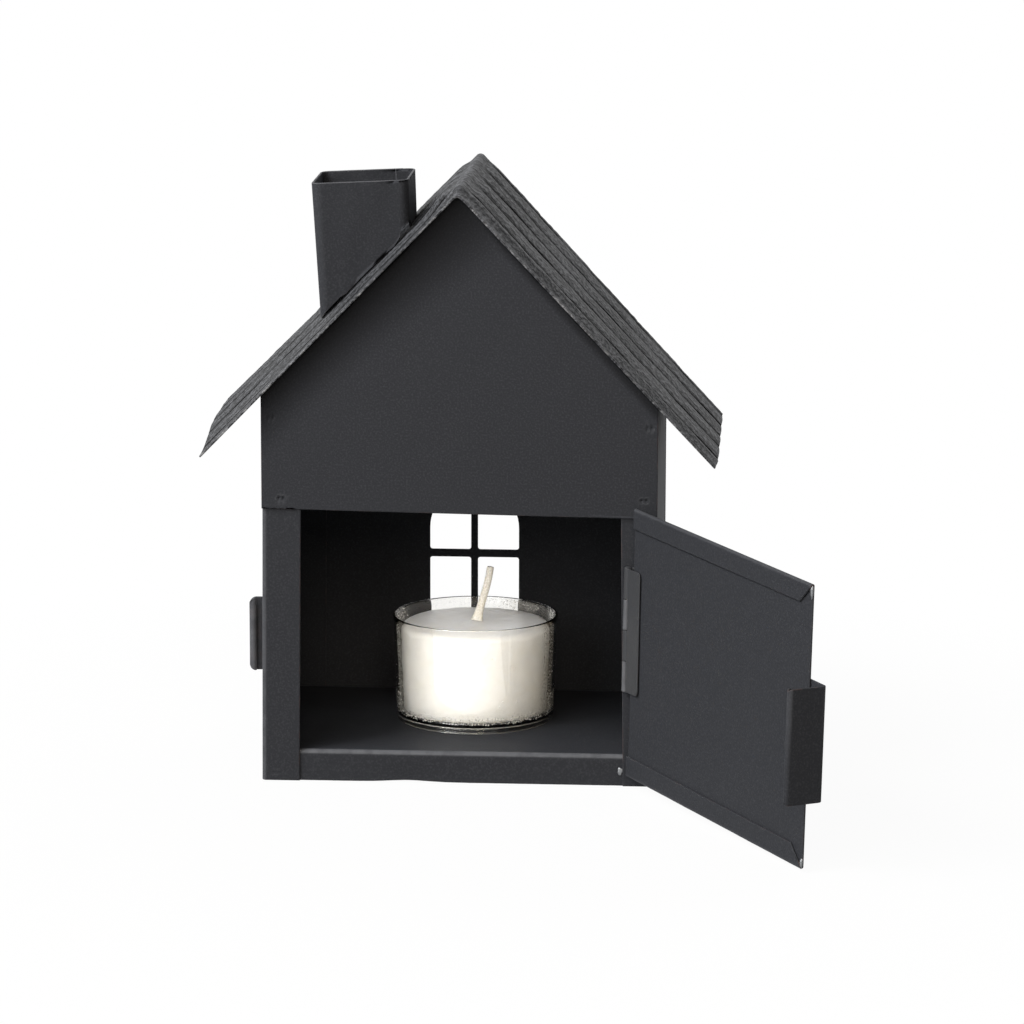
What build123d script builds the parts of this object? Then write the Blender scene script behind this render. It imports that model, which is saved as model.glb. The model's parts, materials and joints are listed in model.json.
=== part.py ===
from build123d import *
from math import cos, hypot, radians, sin, tan
import os

# A tin house for a tealight: folded sheet walls, an embossed roof, a chimney and a hinged door.
# It stands on z = 0, and the origin is the middle of the foot of its front lip.
# The door is drawn where it stands open. Lengths are in millimetres and angles in degrees.

# Sheet metal
sheet = 0.5
bend = 0.9
overrun = 5.0

# House body
body_width = 88.0
body_depth = 64.0
stile_width = 8.0
gable_bottom = 61.7
floor_height = 7.15

# Roof, whose two undersides meet at the apex, and which sits a little crooked
apex_height = 132.5
roof_pitch = 46.5
roof_tilt = 0.8
eave_overhang = 12.5
front_overhang = 1.5
rear_overhang = 3.5
ridge_radius = 2.6

# Tiles pressed into the roof sheet
roof_sheet = 0.4
tile_bump = 0.85
tile_step = 0.45
groove_shares = (-0.07, 0.13, 0.34, 0.54, 0.73, 0.93, 1.13)
row_shares = (0.23, 0.44, 0.64, 0.82, 1.0)

# Chimney, placed by the middle of its rim, which stands a little above the apex
chimney_width = 20.4
chimney_depth = 20.4
chimney_corner = 1.6
chimney_x = -24.1
chimney_rise = 0.4
chimney_lean = 2.7
chimney_taper = 0.8
vent_diameter = 10.0

# Arched window in the back wall
window_x = -1.0
window_sill = 23.5
window_width = 21.0
springing_height = 45.8
bar_height = 39.7
mullion = 1.6
cross_bar = 1.8
pane_corner = 0.6

# Door, which laps the left stile, and the hinge line on the right stile, which leans to the right
door_lap = 5.3
door_height = 60.9
door_bottom = 2.8
door_gap = 0.2
door_edge = 1.6
hem_width = 4.6
hem_mitre = 4.4
hem_round = 0.35
hinge_inset = 1.3
hinge_lean = 0.9
door_angle = 120.8

# Hinge
barrel_radius = 0.9
barrel_gap = 0.2
bore_radius = 0.5
pin_radius = 0.4
head_radius = 0.75
head_height = 0.35
leaf_sheet = 0.5
leaf_reach = 5.2
leaf_clearance = 0.3
hinge_bottom = 22.2
hinge_length = 28.0
knuckle_count = 4
knuckle_gap = 0.15

# Clip on the free edge of the door, and the catch on the left wall
clip_bottom = 15.8
clip_height = 24.9
clip_lap = 8.0
clip_overhang = 4.7
clip_leg = 9.0
clip_bend = 0.8
curl_diameter = 1.7
curl_turn = 250
catch_bottom = 23.5
catch_height = 16.4
catch_proud = 3.9
catch_foot = 4.0
catch_gap = 0.5

# Tealight in a clear cup
light_x = 1.2
light_back_gap = 10.0
light_gap = 0.1
cup_top_radius = 19.0
cup_bottom_radius = 18.0
cup_height = 24.3
cup_wall = 0.6
cup_floor = 0.7
cup_foot = 1.2
foot_width = 1.4
wax_gap = 0.5
wax_top_gap = 0.9
wax_below_rim = 2.0
wax_corner = 0.6
tab_radius = 6.5
tab_sheet = 0.3
neck_height = 4.0
neck_wall = 0.4
wick_radius = 0.9
wick_fit = 0.05
wick_length = 12.0
wick_lean = 12.0

# Places that follow from the sizes
half_width = body_width / 2
gable_front = -2.5 * sheet
stile_front = gable_front + sheet
body_back = gable_front + body_depth
stile_inner = half_width - stile_width
roof_front = gable_front - front_overhang
roof_back = body_back + rear_overhang
roof_depth = roof_back - roof_front
roof_middle = (roof_front + roof_back) / 2
slope_length = (half_width + eave_overhang) / cos(radians(roof_pitch))
tile_top = roof_sheet + tile_bump + tile_step
chimney_top = apex_height + chimney_rise
window_top = springing_height + window_width / 2
hinge_x = stile_inner + hinge_inset
hinge_y = stile_front - barrel_gap - barrel_radius
hinge_middle = hinge_bottom + hinge_length / 2
panel_inner = gable_front - door_gap - sheet - hinge_y
panel_outer = panel_inner - sheet
door_end = hinge_x + stile_inner + door_lap
door_width = door_end - door_edge
knuckle_length = hinge_length / knuckle_count
light_y = body_back - light_back_gap - cup_top_radius
light_base = floor_height + light_gap
tab_bottom = light_base + cup_foot + cup_floor
wax_top = light_base + cup_height - wax_below_rim


def pitch(side):
    """Angle of one slope from level: side is -1 at the left and 1 at the right."""
    return radians(roof_pitch + side * roof_tilt)


def under_roof(x):
    """Height of the underside of the roof at a distance x from the middle."""
    return apex_height - abs(x) * tan(pitch(1 if x > 0 else -1))


def underside(side):
    """Plane of the underside of one slope, facing up and out."""
    angle = pitch(side)
    return Plane(origin=(0, 0, apex_height), x_dir=(0, side, 0), z_dir=(side * sin(angle), 0, cos(angle)))


def finish(part, name):
    """Names a finished piece and writes it."""
    part.label = name
    export_step(part, f"parts/{name}.step")


os.makedirs("parts", exist_ok=True)

# Side walls, each with a stile folded in at the front and a flange at the back
for side, name in ((-1, "left_wall"), (1, "right_wall")):
    wall_x = side * (half_width - sheet / 2)
    fold_x = side * stile_inner
    front_y = stile_front + sheet / 2
    back_y = body_back - sheet - sheet / 2
    with BuildPart() as wall:
        with BuildSketch(Plane.XY):
            with BuildLine():
                FilletPolyline(
                    (fold_x, front_y), (wall_x, front_y), (wall_x, back_y), (fold_x, back_y),
                    radius=bend - sheet / 2,
                )
            trace(line_width=sheet)
        extrude(amount=apex_height)
        split(bisect_by=underside(side), keep=Keep.BOTTOM)
    finish(wall.part, name)

# Front gable, a plain panel over the stiles, whose lower edge follows the tilt of the roof
tilt_rise = half_width * tan(radians(roof_tilt))
with BuildPart() as front_gable:
    with BuildSketch(Plane.XZ.offset(-stile_front)):
        with BuildLine():
            Polyline(
                (-half_width, gable_bottom + tilt_rise),
                (half_width, gable_bottom - tilt_rise),
                (half_width, under_roof(half_width)),
                (0, apex_height),
                (-half_width, under_roof(-half_width)),
                close=True,
            )
        make_face()
    extrude(amount=sheet)
finish(front_gable.part, "front_gable")

# Back wall, with an arched window cut as four panes
with BuildPart() as back_wall:
    with BuildSketch(Plane.XZ.offset(-body_back)):
        with BuildLine():
            Polyline(
                (-half_width, 0),
                (half_width, 0),
                (half_width, under_roof(half_width)),
                (0, apex_height),
                (-half_width, under_roof(-half_width)),
                close=True,
            )
        make_face()
    extrude(amount=sheet)
    with BuildSketch(Plane.XZ.offset(-body_back)) as panes:
        with Locations((window_x, springing_height)):
            Circle(window_width / 2)
        with Locations((window_x, window_sill)):
            Rectangle(window_width, springing_height - window_sill, align=(Align.CENTER, Align.MIN))
        with Locations((window_x, (window_sill + window_top) / 2)):
            Rectangle(mullion, window_top - window_sill + overrun, mode=Mode.SUBTRACT)
        with Locations((window_x, bar_height)):
            Rectangle(window_width + overrun, cross_bar, mode=Mode.SUBTRACT)
        fillet(panes.vertices(), pane_corner)
    extrude(amount=sheet, mode=Mode.SUBTRACT)
finish(back_wall.part, "back_wall")

# Floor pan, raised on a lip that is folded down at the front and at the back
with BuildPart() as floor_pan:
    lip_front = stile_front + sheet + sheet / 2
    lip_back = body_back - 2 * sheet - sheet / 2
    floor_middle = floor_height - sheet / 2
    pan_half_width = half_width - bend
    with BuildSketch(Plane.YZ.offset(-pan_half_width)):
        with BuildLine():
            FilletPolyline(
                (lip_front, 0), (lip_front, floor_middle), (lip_back, floor_middle), (lip_back, 0),
                radius=bend - sheet / 2,
            )
        trace(line_width=sheet)
    extrude(amount=2 * pan_half_width)
finish(floor_pan.part, "floor_pan")


def roof_slope(side):
    """One slope of the roof: a scalloped section, drawn down the slope in rows that end in a step."""
    angle = pitch(side)
    down = Vector(side * cos(angle), 0, -sin(angle))
    outward = Vector(side * sin(angle), 0, cos(angle))
    edge_y = roof_front if side > 0 else roof_back
    shares = groove_shares if side > 0 else [1 - share for share in reversed(groove_shares)]
    grooves = [roof_depth * share for share in shares]
    head = Plane(origin=(0, edge_y, apex_height), x_dir=(0, side, 0), z_dir=down)
    starts = [-ridge_radius] + [slope_length * share for share in row_shares[:-1]]
    ends = [slope_length * share for share in row_shares]
    with BuildPart() as slope:
        for start, end in zip(starts, ends):
            rise = outward * tile_step + down * (end - start)
            with BuildSketch(head.offset(start)):
                with Locations((roof_depth / 2, -tile_step)):
                    Rectangle(roof_depth, roof_sheet + tile_step, align=(Align.CENTER, Align.MIN))
                for near, far in zip(grooves, grooves[1:]):
                    with BuildLine():
                        ThreePointArc(
                            (near, roof_sheet), ((near + far) / 2, roof_sheet + tile_bump), (far, roof_sheet)
                        )
                        Line((far, roof_sheet), (near, roof_sheet))
                    make_face()
                with Locations((roof_depth / 2, 0)):
                    Rectangle(roof_depth, 2 * tile_top, mode=Mode.INTERSECT)
            extrude(amount=rise.length, dir=rise.normalized())
        split(bisect_by=underside(side), keep=Keep.TOP)
        split(bisect_by=Plane.YZ, keep=Keep.TOP if side > 0 else Keep.BOTTOM)
    return slope.part


# Roof, one sheet bent round at the ridge, with a vent under the chimney
slopes = [roof_slope(side) for side in (-1, 1)]
with BuildPart() as roof:
    add(slopes)
    with BuildSketch(Plane.XZ.offset(-roof_back)):
        with BuildLine():
            lift = tile_top / cos(radians(roof_pitch))
            FilletPolyline(
                (-slope_length, apex_height + lift - slope_length * tan(pitch(-1))),
                (0, apex_height + lift),
                (slope_length, apex_height + lift - slope_length * tan(pitch(1))),
                radius=ridge_radius,
                close=True,
            )
        make_face()
    extrude(amount=roof_depth, mode=Mode.INTERSECT)
    with BuildSketch(Plane.XY.offset(apex_height)):
        with Locations((chimney_x, roof_middle)):
            Circle(vent_diameter / 2)
    extrude(amount=-slope_length, mode=Mode.SUBTRACT)
finish(roof.part, "roof")

# Chimney, a folded tube that leans to the left and stands on the tiles of the left slope
with BuildPart() as chimney:
    lean = radians(chimney_lean)
    rim = Plane(
        origin=(chimney_x, roof_middle, chimney_top),
        x_dir=(cos(lean), 0, sin(lean)),
        z_dir=(sin(lean), 0, -cos(lean)),
    )
    for inset, mode in ((0, Mode.ADD), (sheet, Mode.SUBTRACT)):
        with BuildSketch(rim):
            RectangleRounded(chimney_width - 2 * inset, chimney_depth - 2 * inset, chimney_corner - inset)
        extrude(amount=slope_length / 2, taper=chimney_taper, mode=mode)
    split(bisect_by=underside(-1).offset(tile_top), keep=Keep.TOP)
finish(chimney.part, "chimney")

# Hinge line, and the frames of the open door: one on its panel and one on its hinge leaf
lean = radians(hinge_lean)
pivot = Vector(hinge_x, hinge_y, hinge_middle)
line = Vector(sin(lean), 0, cos(lean))
hinge_axis = Axis(pivot, line)
inward = Vector(0, 1, 0).rotate(hinge_axis, door_angle)
door_along = Vector(-1, 0, 0).rotate(hinge_axis, door_angle)
door_up = inward.cross(door_along)
leaf_along = line.cross(inward)
door_plane = Plane(origin=pivot, x_dir=door_along, z_dir=inward)
door_foot = door_bottom - hinge_middle

# Door panel, with a hem folded in along its top and its bottom, cut to a mitre at the free edge
with BuildPart() as door_panel:
    with BuildSketch(door_plane.offset(panel_outer)):
        with Locations((door_edge, door_foot)):
            Rectangle(door_width, door_height, align=(Align.MIN, Align.MIN))
    extrude(amount=sheet)
    with BuildSketch(door_plane.offset(panel_inner)):
        for fold, way in ((door_foot, 1), (door_foot + door_height, -1)):
            with BuildLine():
                Polyline(
                    (door_edge, fold),
                    (door_end, fold),
                    (door_end - hem_mitre, fold + way * hem_width),
                    (door_edge, fold + way * hem_width),
                    close=True,
                )
            make_face()
    extrude(amount=sheet)
    folds = door_panel.edges().filter_by(Axis(pivot, door_along)).group_by(Axis(pivot, door_up))
    fillet(folds[0] + folds[-1], hem_round)
finish(door_panel.part, "door_panel")


def hinge_leaf(along, near, first):
    """One leaf of the hinge, flat beside the barrel, with every second knuckle from the first one up."""
    with BuildPart() as leaf:
        foot = Plane(origin=pivot - line * hinge_length / 2, x_dir=along, z_dir=line)
        with BuildSketch(foot):
            with Locations((barrel_radius + leaf_clearance, near)):
                Rectangle(leaf_reach, leaf_sheet, align=(Align.MIN, Align.MIN))
        extrude(amount=hinge_length)
        for index in range(first, knuckle_count, 2):
            with BuildSketch(foot.offset(index * knuckle_length + knuckle_gap / 2)):
                Circle(barrel_radius)
                with Locations((0, near)):
                    Rectangle(
                        barrel_radius + leaf_clearance + leaf_sheet, leaf_sheet, align=(Align.MIN, Align.MIN)
                    )
                Circle(bore_radius, mode=Mode.SUBTRACT)
            extrude(amount=knuckle_length - knuckle_gap)
    return leaf.part


# Hinge, with one leaf flat on the right stile and the other on the inner face of the door
stile_along = Vector(cos(lean), 0, -sin(lean))
finish(hinge_leaf(stile_along, stile_front - leaf_sheet - hinge_y, 0), "hinge_frame_leaf")
finish(hinge_leaf(leaf_along, -panel_inner - leaf_sheet, 1), "hinge_door_leaf")

# Hinge pin, with a small head at each end
with BuildPart() as hinge_pin:
    with BuildSketch(Plane(origin=pivot, z_dir=line)):
        Circle(pin_radius)
    extrude(amount=hinge_length / 2, both=True)
    for way in (-1, 1):
        with BuildSketch(Plane(origin=pivot + line * way * hinge_length / 2, z_dir=line * way)):
            Circle(head_radius)
        extrude(amount=head_height)
finish(hinge_pin.part, "hinge_pin")

# Clip, a strip on the outer face of the door that turns in past its free edge and ends in a curl
curl_radius = (curl_diameter - sheet) / 2
with BuildPart() as door_clip:
    section = Plane(origin=pivot + door_up * (door_foot + clip_bottom), x_dir=door_along, z_dir=door_up)
    strip = sheet / 2 - panel_outer
    leg_x = door_end + clip_overhang - sheet / 2
    leg_end = strip + sheet / 2 - clip_leg + curl_diameter / 2
    with BuildSketch(section):
        with BuildLine():
            FilletPolyline((door_end - clip_lap, strip), (leg_x, strip), (leg_x, leg_end), radius=clip_bend)
            CenterArc((leg_x - curl_radius, leg_end), curl_radius, 0, -curl_turn)
        trace(line_width=sheet)
    extrude(amount=clip_height)
finish(door_clip.part, "door_clip")

# Catch, a strip on the left wall that stands out just behind the closed clip and ends in a curl
with BuildPart() as clip_catch:
    foot_x = -half_width - sheet / 2
    stand_x = curl_radius + sheet / 2 - half_width - catch_proud
    catch_y = hinge_y + panel_outer - sheet + clip_leg + catch_gap + sheet / 2
    with BuildSketch(Plane.XY.offset(catch_bottom)):
        with BuildLine():
            FilletPolyline(
                (foot_x, catch_y + catch_foot), (foot_x, catch_y), (stand_x, catch_y), radius=clip_bend
            )
            CenterArc((stand_x, catch_y + curl_radius), curl_radius, -90, -curl_turn)
        trace(line_width=sheet)
    extrude(amount=catch_height)
finish(clip_catch.part, "clip_catch")

# Upright plane through the middle of the tealight, and its axis
light_plane = Plane(origin=(light_x, light_y, 0), x_dir=(1, 0, 0), z_dir=(0, -1, 0))
light_axis = Axis((light_x, light_y, 0), (0, 0, 1))

# Cup of the tealight, clear and slightly tapered, with a raised bottom
with BuildPart() as tealight_cup:
    with BuildSketch(light_plane):
        with BuildLine():
            Polyline(
                (0, tab_bottom - cup_floor),
                (cup_bottom_radius - foot_width, tab_bottom - cup_floor),
                (cup_bottom_radius - foot_width, light_base),
                (cup_bottom_radius, light_base),
                (cup_top_radius, light_base + cup_height),
                (cup_top_radius - cup_wall, light_base + cup_height),
                (cup_bottom_radius - cup_wall, tab_bottom),
                (0, tab_bottom),
                close=True,
            )
        make_face()
    revolve(axis=light_axis)
finish(tealight_cup.part, "tealight_cup")

# Wick, straight up through the wax and leaning to the right above it
with BuildPart() as tealight_wick:
    wick_turn = radians(wick_lean)
    with BuildLine(light_plane) as wick_path:
        FilletPolyline(
            (0, tab_bottom + tab_sheet),
            (0, wax_top),
            (wick_length * sin(wick_turn), wax_top + wick_length * cos(wick_turn)),
            radius=wick_length / 3,
        )
    with BuildSketch(Plane(origin=(light_x, light_y, tab_bottom + tab_sheet))):
        Circle(wick_radius)
    sweep(path=wick_path.line)
finish(tealight_wick.part, "tealight_wick")

# Wick tab, a small plate with a neck that holds the wick
with BuildPart() as wick_tab:
    with BuildSketch(Plane(origin=(light_x, light_y, tab_bottom))):
        Circle(tab_radius)
    extrude(amount=tab_sheet)
    with BuildSketch(Plane(origin=(light_x, light_y, tab_bottom + tab_sheet))):
        Circle(wick_radius + wick_fit + neck_wall)
        Circle(wick_radius + wick_fit, mode=Mode.SUBTRACT)
    extrude(amount=neck_height)
finish(wick_tab.part, "wick_tab")

# Wax, cast round the wick and its tab
with BuildPart() as tealight_wax:
    with BuildSketch(light_plane):
        with BuildLine():
            Polyline(
                (0, tab_bottom),
                (cup_bottom_radius - cup_wall - wax_gap, tab_bottom),
                (cup_top_radius - cup_wall - wax_top_gap, wax_top),
                (0, wax_top),
                close=True,
            )
        make_face()
    revolve(axis=light_axis)
    fillet(tealight_wax.faces().sort_by(Axis.Z)[-1].edges(), wax_corner)
    add([tealight_wick.part, wick_tab.part], mode=Mode.SUBTRACT)
finish(tealight_wax.part, "tealight_wax")
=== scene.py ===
"""Tealight house: a small folded tin house, painted matt black, with a tealight in a clear cup.

Sizes are in millimetres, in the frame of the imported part, and become metres where a mesh is made. Thin sheets
are middle surfaces, worked out as whole arrays, that get their thickness and their rounded edges from one
function.
"""

import json
import logging
import math
from collections.abc import Callable, Sequence
from dataclasses import dataclass, field
from enum import Enum

import bpy
import numpy as np
from mathutils import Matrix, Vector


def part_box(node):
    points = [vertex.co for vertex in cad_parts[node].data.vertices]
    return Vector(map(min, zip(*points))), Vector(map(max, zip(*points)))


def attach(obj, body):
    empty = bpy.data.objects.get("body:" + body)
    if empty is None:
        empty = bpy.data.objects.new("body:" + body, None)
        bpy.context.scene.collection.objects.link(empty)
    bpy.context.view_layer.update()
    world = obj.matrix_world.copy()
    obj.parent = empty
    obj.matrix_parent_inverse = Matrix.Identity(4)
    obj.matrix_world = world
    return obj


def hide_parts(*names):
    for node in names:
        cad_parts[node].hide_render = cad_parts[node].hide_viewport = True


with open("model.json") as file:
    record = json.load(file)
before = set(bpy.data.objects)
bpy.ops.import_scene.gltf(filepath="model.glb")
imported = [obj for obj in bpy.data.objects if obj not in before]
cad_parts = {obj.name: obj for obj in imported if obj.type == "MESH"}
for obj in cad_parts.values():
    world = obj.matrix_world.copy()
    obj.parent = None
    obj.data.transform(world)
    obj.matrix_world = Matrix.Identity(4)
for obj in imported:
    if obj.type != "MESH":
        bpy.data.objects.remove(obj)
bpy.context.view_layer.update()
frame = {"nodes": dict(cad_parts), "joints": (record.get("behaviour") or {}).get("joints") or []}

log = logging.getLogger("tealight_house")

MM = 0.001
SHARP = 1.7  # bend per millimetre at which a fold counts as fully sharp
HOLD = 0.25  # distance from an edge of the line that keeps it crisp, in millimetres
EDGE_STEPS = 4  # faces across the rounded edge of a sheet
MIDDLE = Vector((0.0, 0.03, 0.05))  # middle of the house, which the lamps face, in metres
Array = np.ndarray
Socket = bpy.types.NodeSocket


class Body(Enum):
    """Bodies of the frame that a piece can ride on."""

    HOUSE = "house"
    DOOR = "door"
    TEALIGHT = "tealight"


class Side(Enum):
    """Left and right of the house as seen from the front, as the sign of x."""

    LEFT = -1
    RIGHT = 1


def box_of(node: str) -> tuple[Array, Array]:
    """Gives the lowest and highest corner of a node of the frame, in millimetres."""
    low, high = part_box(node)
    return np.array(low) / MM, np.array(high) / MM


def smooth(low: float, high: float, value: Array) -> Array:
    """Rises from 0 at low to 1 at high along the curve 3t^2 - 2t^3."""
    share = np.clip((value - low) / (high - low), 0, 1)
    return share * share * (3 - 2 * share)


def held(reach: float, *distances: Array) -> Array:
    """Fades to 0 at some edges: the product of smooth(0, reach, d) over the distances d from them."""
    return math.prod(smooth(0.0, reach, distance) for distance in distances)


def hump(centre: float, width: float, value: Array) -> Array:
    """Bell curve exp(-(d / width)^2) of the distance d from a centre."""
    return np.exp(-(((value - centre) / width) ** 2))


def swell(first: Array, second: Array, seed: int, longest: float, count: int = 4) -> Array:
    """Uneven surface of a hand-folded sheet: a sum of sine waves, each 1.6 times shorter than the last.

    Args:
        first: first coordinate along the surface.
        second: second coordinate along the surface.
        seed: seed of the directions and phases.
        longest: longest wavelength.
        count: number of waves.

    Returns:
        Heights between about -1 and 1.
    """
    draw = np.random.default_rng(seed)
    total = np.zeros(np.broadcast(first, second).shape)
    for index in range(count):
        turn, phase = draw.uniform(0, 2 * math.pi, 2)
        along = first * math.cos(turn) + second * math.sin(turn)
        total += np.sin(2 * math.pi * along * 1.6**index / longest + phase) / count
    return total


def spread(stops: Sequence[float], step: float, hold: float = HOLD) -> Array:
    """Places grid lines between stops, with one more close inside each end, which keeps the edge crisp.

    Args:
        stops: places that get a line, in rising order.
        step: widest distance between lines.
        hold: distance of the holding lines from the two ends.

    Returns:
        The places of all lines, in rising order.
    """
    parts = [
        np.linspace(low, high, max(2, math.ceil((high - low) / step) + 1))[:-1]
        for low, high in zip(stops, stops[1:])
    ]
    return np.unique(np.round(np.concatenate([*parts, [stops[-1], stops[0] + hold, stops[-1] - hold]]), 4))


def refined(lines: Array, centres: Sequence[float], reach: float, step: float) -> Array:
    """Adds fine grid lines round some centres, and drops coarse ones that would lie almost on them.

    Args:
        lines: grid lines in rising order.
        centres: middles of the fine stretches.
        reach: distance from a centre to the ends of its fine stretch.
        step: distance between fine lines.

    Returns:
        All lines in rising order, between the first and the last of those given.
    """
    fine = np.concatenate([np.arange(-reach, reach + step / 2, step) + centre for centre in centres])
    fine = fine[(fine > lines[1] + step / 2) & (fine < lines[-2] - step / 2)]
    keep = np.abs(lines[:, None] - fine[None, :]).min(axis=1) > step / 2
    keep[[0, 1, -2, -1]] = True
    return np.unique(np.round(np.concatenate([lines[keep], fine]), 4))


def over_grid(section: Array, shape: tuple[int, ...]) -> list[Array]:
    """Repeats both coordinates of a section over a grid, which has one row for each of its points."""
    return [np.broadcast_to(section[:, column : column + 1], shape) for column in (0, 1)]


@dataclass
class Strip:
    """Section of a strip as it is bent: a pen that draws straight runs and turns, in a plane."""

    start: tuple[float, float]  # where the pen starts
    heading: float  # direction that it starts in, in degrees from the first axis
    step: float = 1.5  # widest distance between points of a run
    turn_step: float = 11.0  # widest angle between points of a turn, in degrees
    # The points drawn so far, in one array for each run or turn.
    parts: list[Array] = field(default_factory=list)

    def __post_init__(self) -> None:
        """Puts the first point down."""
        self.parts.append(np.array([self.start]))

    @property
    def end(self) -> Array:
        """Where the pen is."""
        return self.parts[-1][-1]

    def run(self, length: float) -> "Strip":
        """Draws a straight run, with a holding point near each of its ends.

        Args:
            length: length of the run.

        Returns:
            The pen itself.
        """
        way = np.array([math.cos(math.radians(self.heading)), math.sin(math.radians(self.heading))])
        places = spread((0.0, length), self.step, min(HOLD, length / 4))[1:]
        self.parts.append(self.end + places[:, None] * way)
        return self

    def turn(self, radius: float, degrees: float) -> "Strip":
        """Draws an arc that leaves the run without a corner: to the left for a positive angle.

        Args:
            radius: radius of the arc.
            degrees: angle that it turns through.

        Returns:
            The pen itself.
        """
        count = max(2, math.ceil(abs(degrees) / self.turn_step))
        from_centre = math.radians(self.heading - math.copysign(90, degrees))
        centre = self.end - radius * np.array([math.cos(from_centre), math.sin(from_centre)])
        angles = from_centre + np.radians(degrees) * np.arange(1, count + 1) / count
        self.parts.append(centre + radius * np.stack([np.cos(angles), np.sin(angles)], axis=1))
        self.heading += degrees
        return self

    def points(self) -> Array:
        """Gives all points drawn, as an array of pairs."""
        return np.concatenate(self.parts)

    def lengths(self) -> Array:
        """Gives the distance of each point from the start, along the strip."""
        steps = np.linalg.norm(np.diff(self.points(), axis=0), axis=1)
        return np.concatenate([[0.0], np.cumsum(steps)])


@dataclass
class Shape:
    """Points and faces of a piece, before they become a mesh."""

    points: Array  # points in millimetres
    faces: list[Array]  # arrays of faces, each with as many columns as its faces have corners
    # For the finishes, values from 0 to 1 at each point. "edge" is the closeness to a cut edge, "fold" how
    # sharply the surface bends outwards, which is painted lighter as a highlight and as wear, the shade mark
    # how much painted shade lies there, in a weld dent, a groove or a corner under the eaves, and "frost" how
    # much wax clings there.
    marks: dict[str, Array] = field(default_factory=dict)

    def place(self, name: str, material: bpy.types.Material, body: Body, slot: str, *nodes: str) -> None:
        """Makes the smooth shaded mesh and lets it ride on its body.

        Args:
            name: name of the piece.
            material: its finish.
            body: body that it moves with.
            slot: material slot of the record; not used.
            nodes: nodes of the frame that it replaces.
        """
        mesh = bpy.data.meshes.new(name)
        faces = [face for part in self.faces for face in part.tolist()]
        mesh.from_pydata((self.points * MM).tolist(), [], faces)
        mesh.polygons.foreach_set("use_smooth", np.ones(len(mesh.polygons), dtype=bool))
        for mark_name, values in self.marks.items():
            mark = mesh.attributes.new(mark_name, "FLOAT", "POINT")
            mark.data.foreach_set("value", values.astype(np.float32))
        mesh.materials.append(material)
        mesh.validate()
        mesh.update()
        piece = bpy.data.objects.new(name, mesh)
        bpy.context.scene.collection.objects.link(piece)
        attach(piece, body.value)
        if nodes:
            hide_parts(*nodes)
        log.info("%s: %d faces on %s", name, len(mesh.polygons), body.value)


def paint_node(node: str, material: bpy.types.Material) -> None:
    """Gives a node of the frame that stays a better finish.

    Args:
        node: name of the node.
        material: its finish.
    """
    kept = frame["nodes"][node]
    kept.data.materials.clear()
    kept.data.materials.append(material)
    log.info("%s: kept, with %s", node, material.name)


def grid_quads(rows: int, columns: int, close_rows: bool = False, close_columns: bool = False) -> Array:
    """Gives the quads of a grid whose points are numbered row by row.

    Args:
        rows: number of rows of points.
        columns: number of points in a row.
        close_rows: joins the last row to the first.
        close_columns: joins the last column to the first.

    Returns:
        Quads that turn from the row direction to the column direction.
    """
    index = np.arange(rows * columns).reshape(rows, columns)
    if close_rows:
        index = np.vstack([index, index[:1]])
    if close_columns:
        index = np.hstack([index, index[:, :1]])
    corners = (index[:-1, :-1], index[1:, :-1], index[1:, 1:], index[:-1, 1:])
    return np.stack([corner.ravel() for corner in corners], axis=1)


def fan(pole: int, ring: Array, after: Array) -> Array:
    """Gives the triangles between a pole and the edges of a ring, each from one point to the one after."""
    return np.stack([np.full(len(ring), pole), ring, after], axis=1)


def unit(vectors: Array) -> Array:
    """Brings vectors, held along the last axis, to length 1."""
    return vectors / np.linalg.norm(vectors, axis=-1, keepdims=True)


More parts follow.
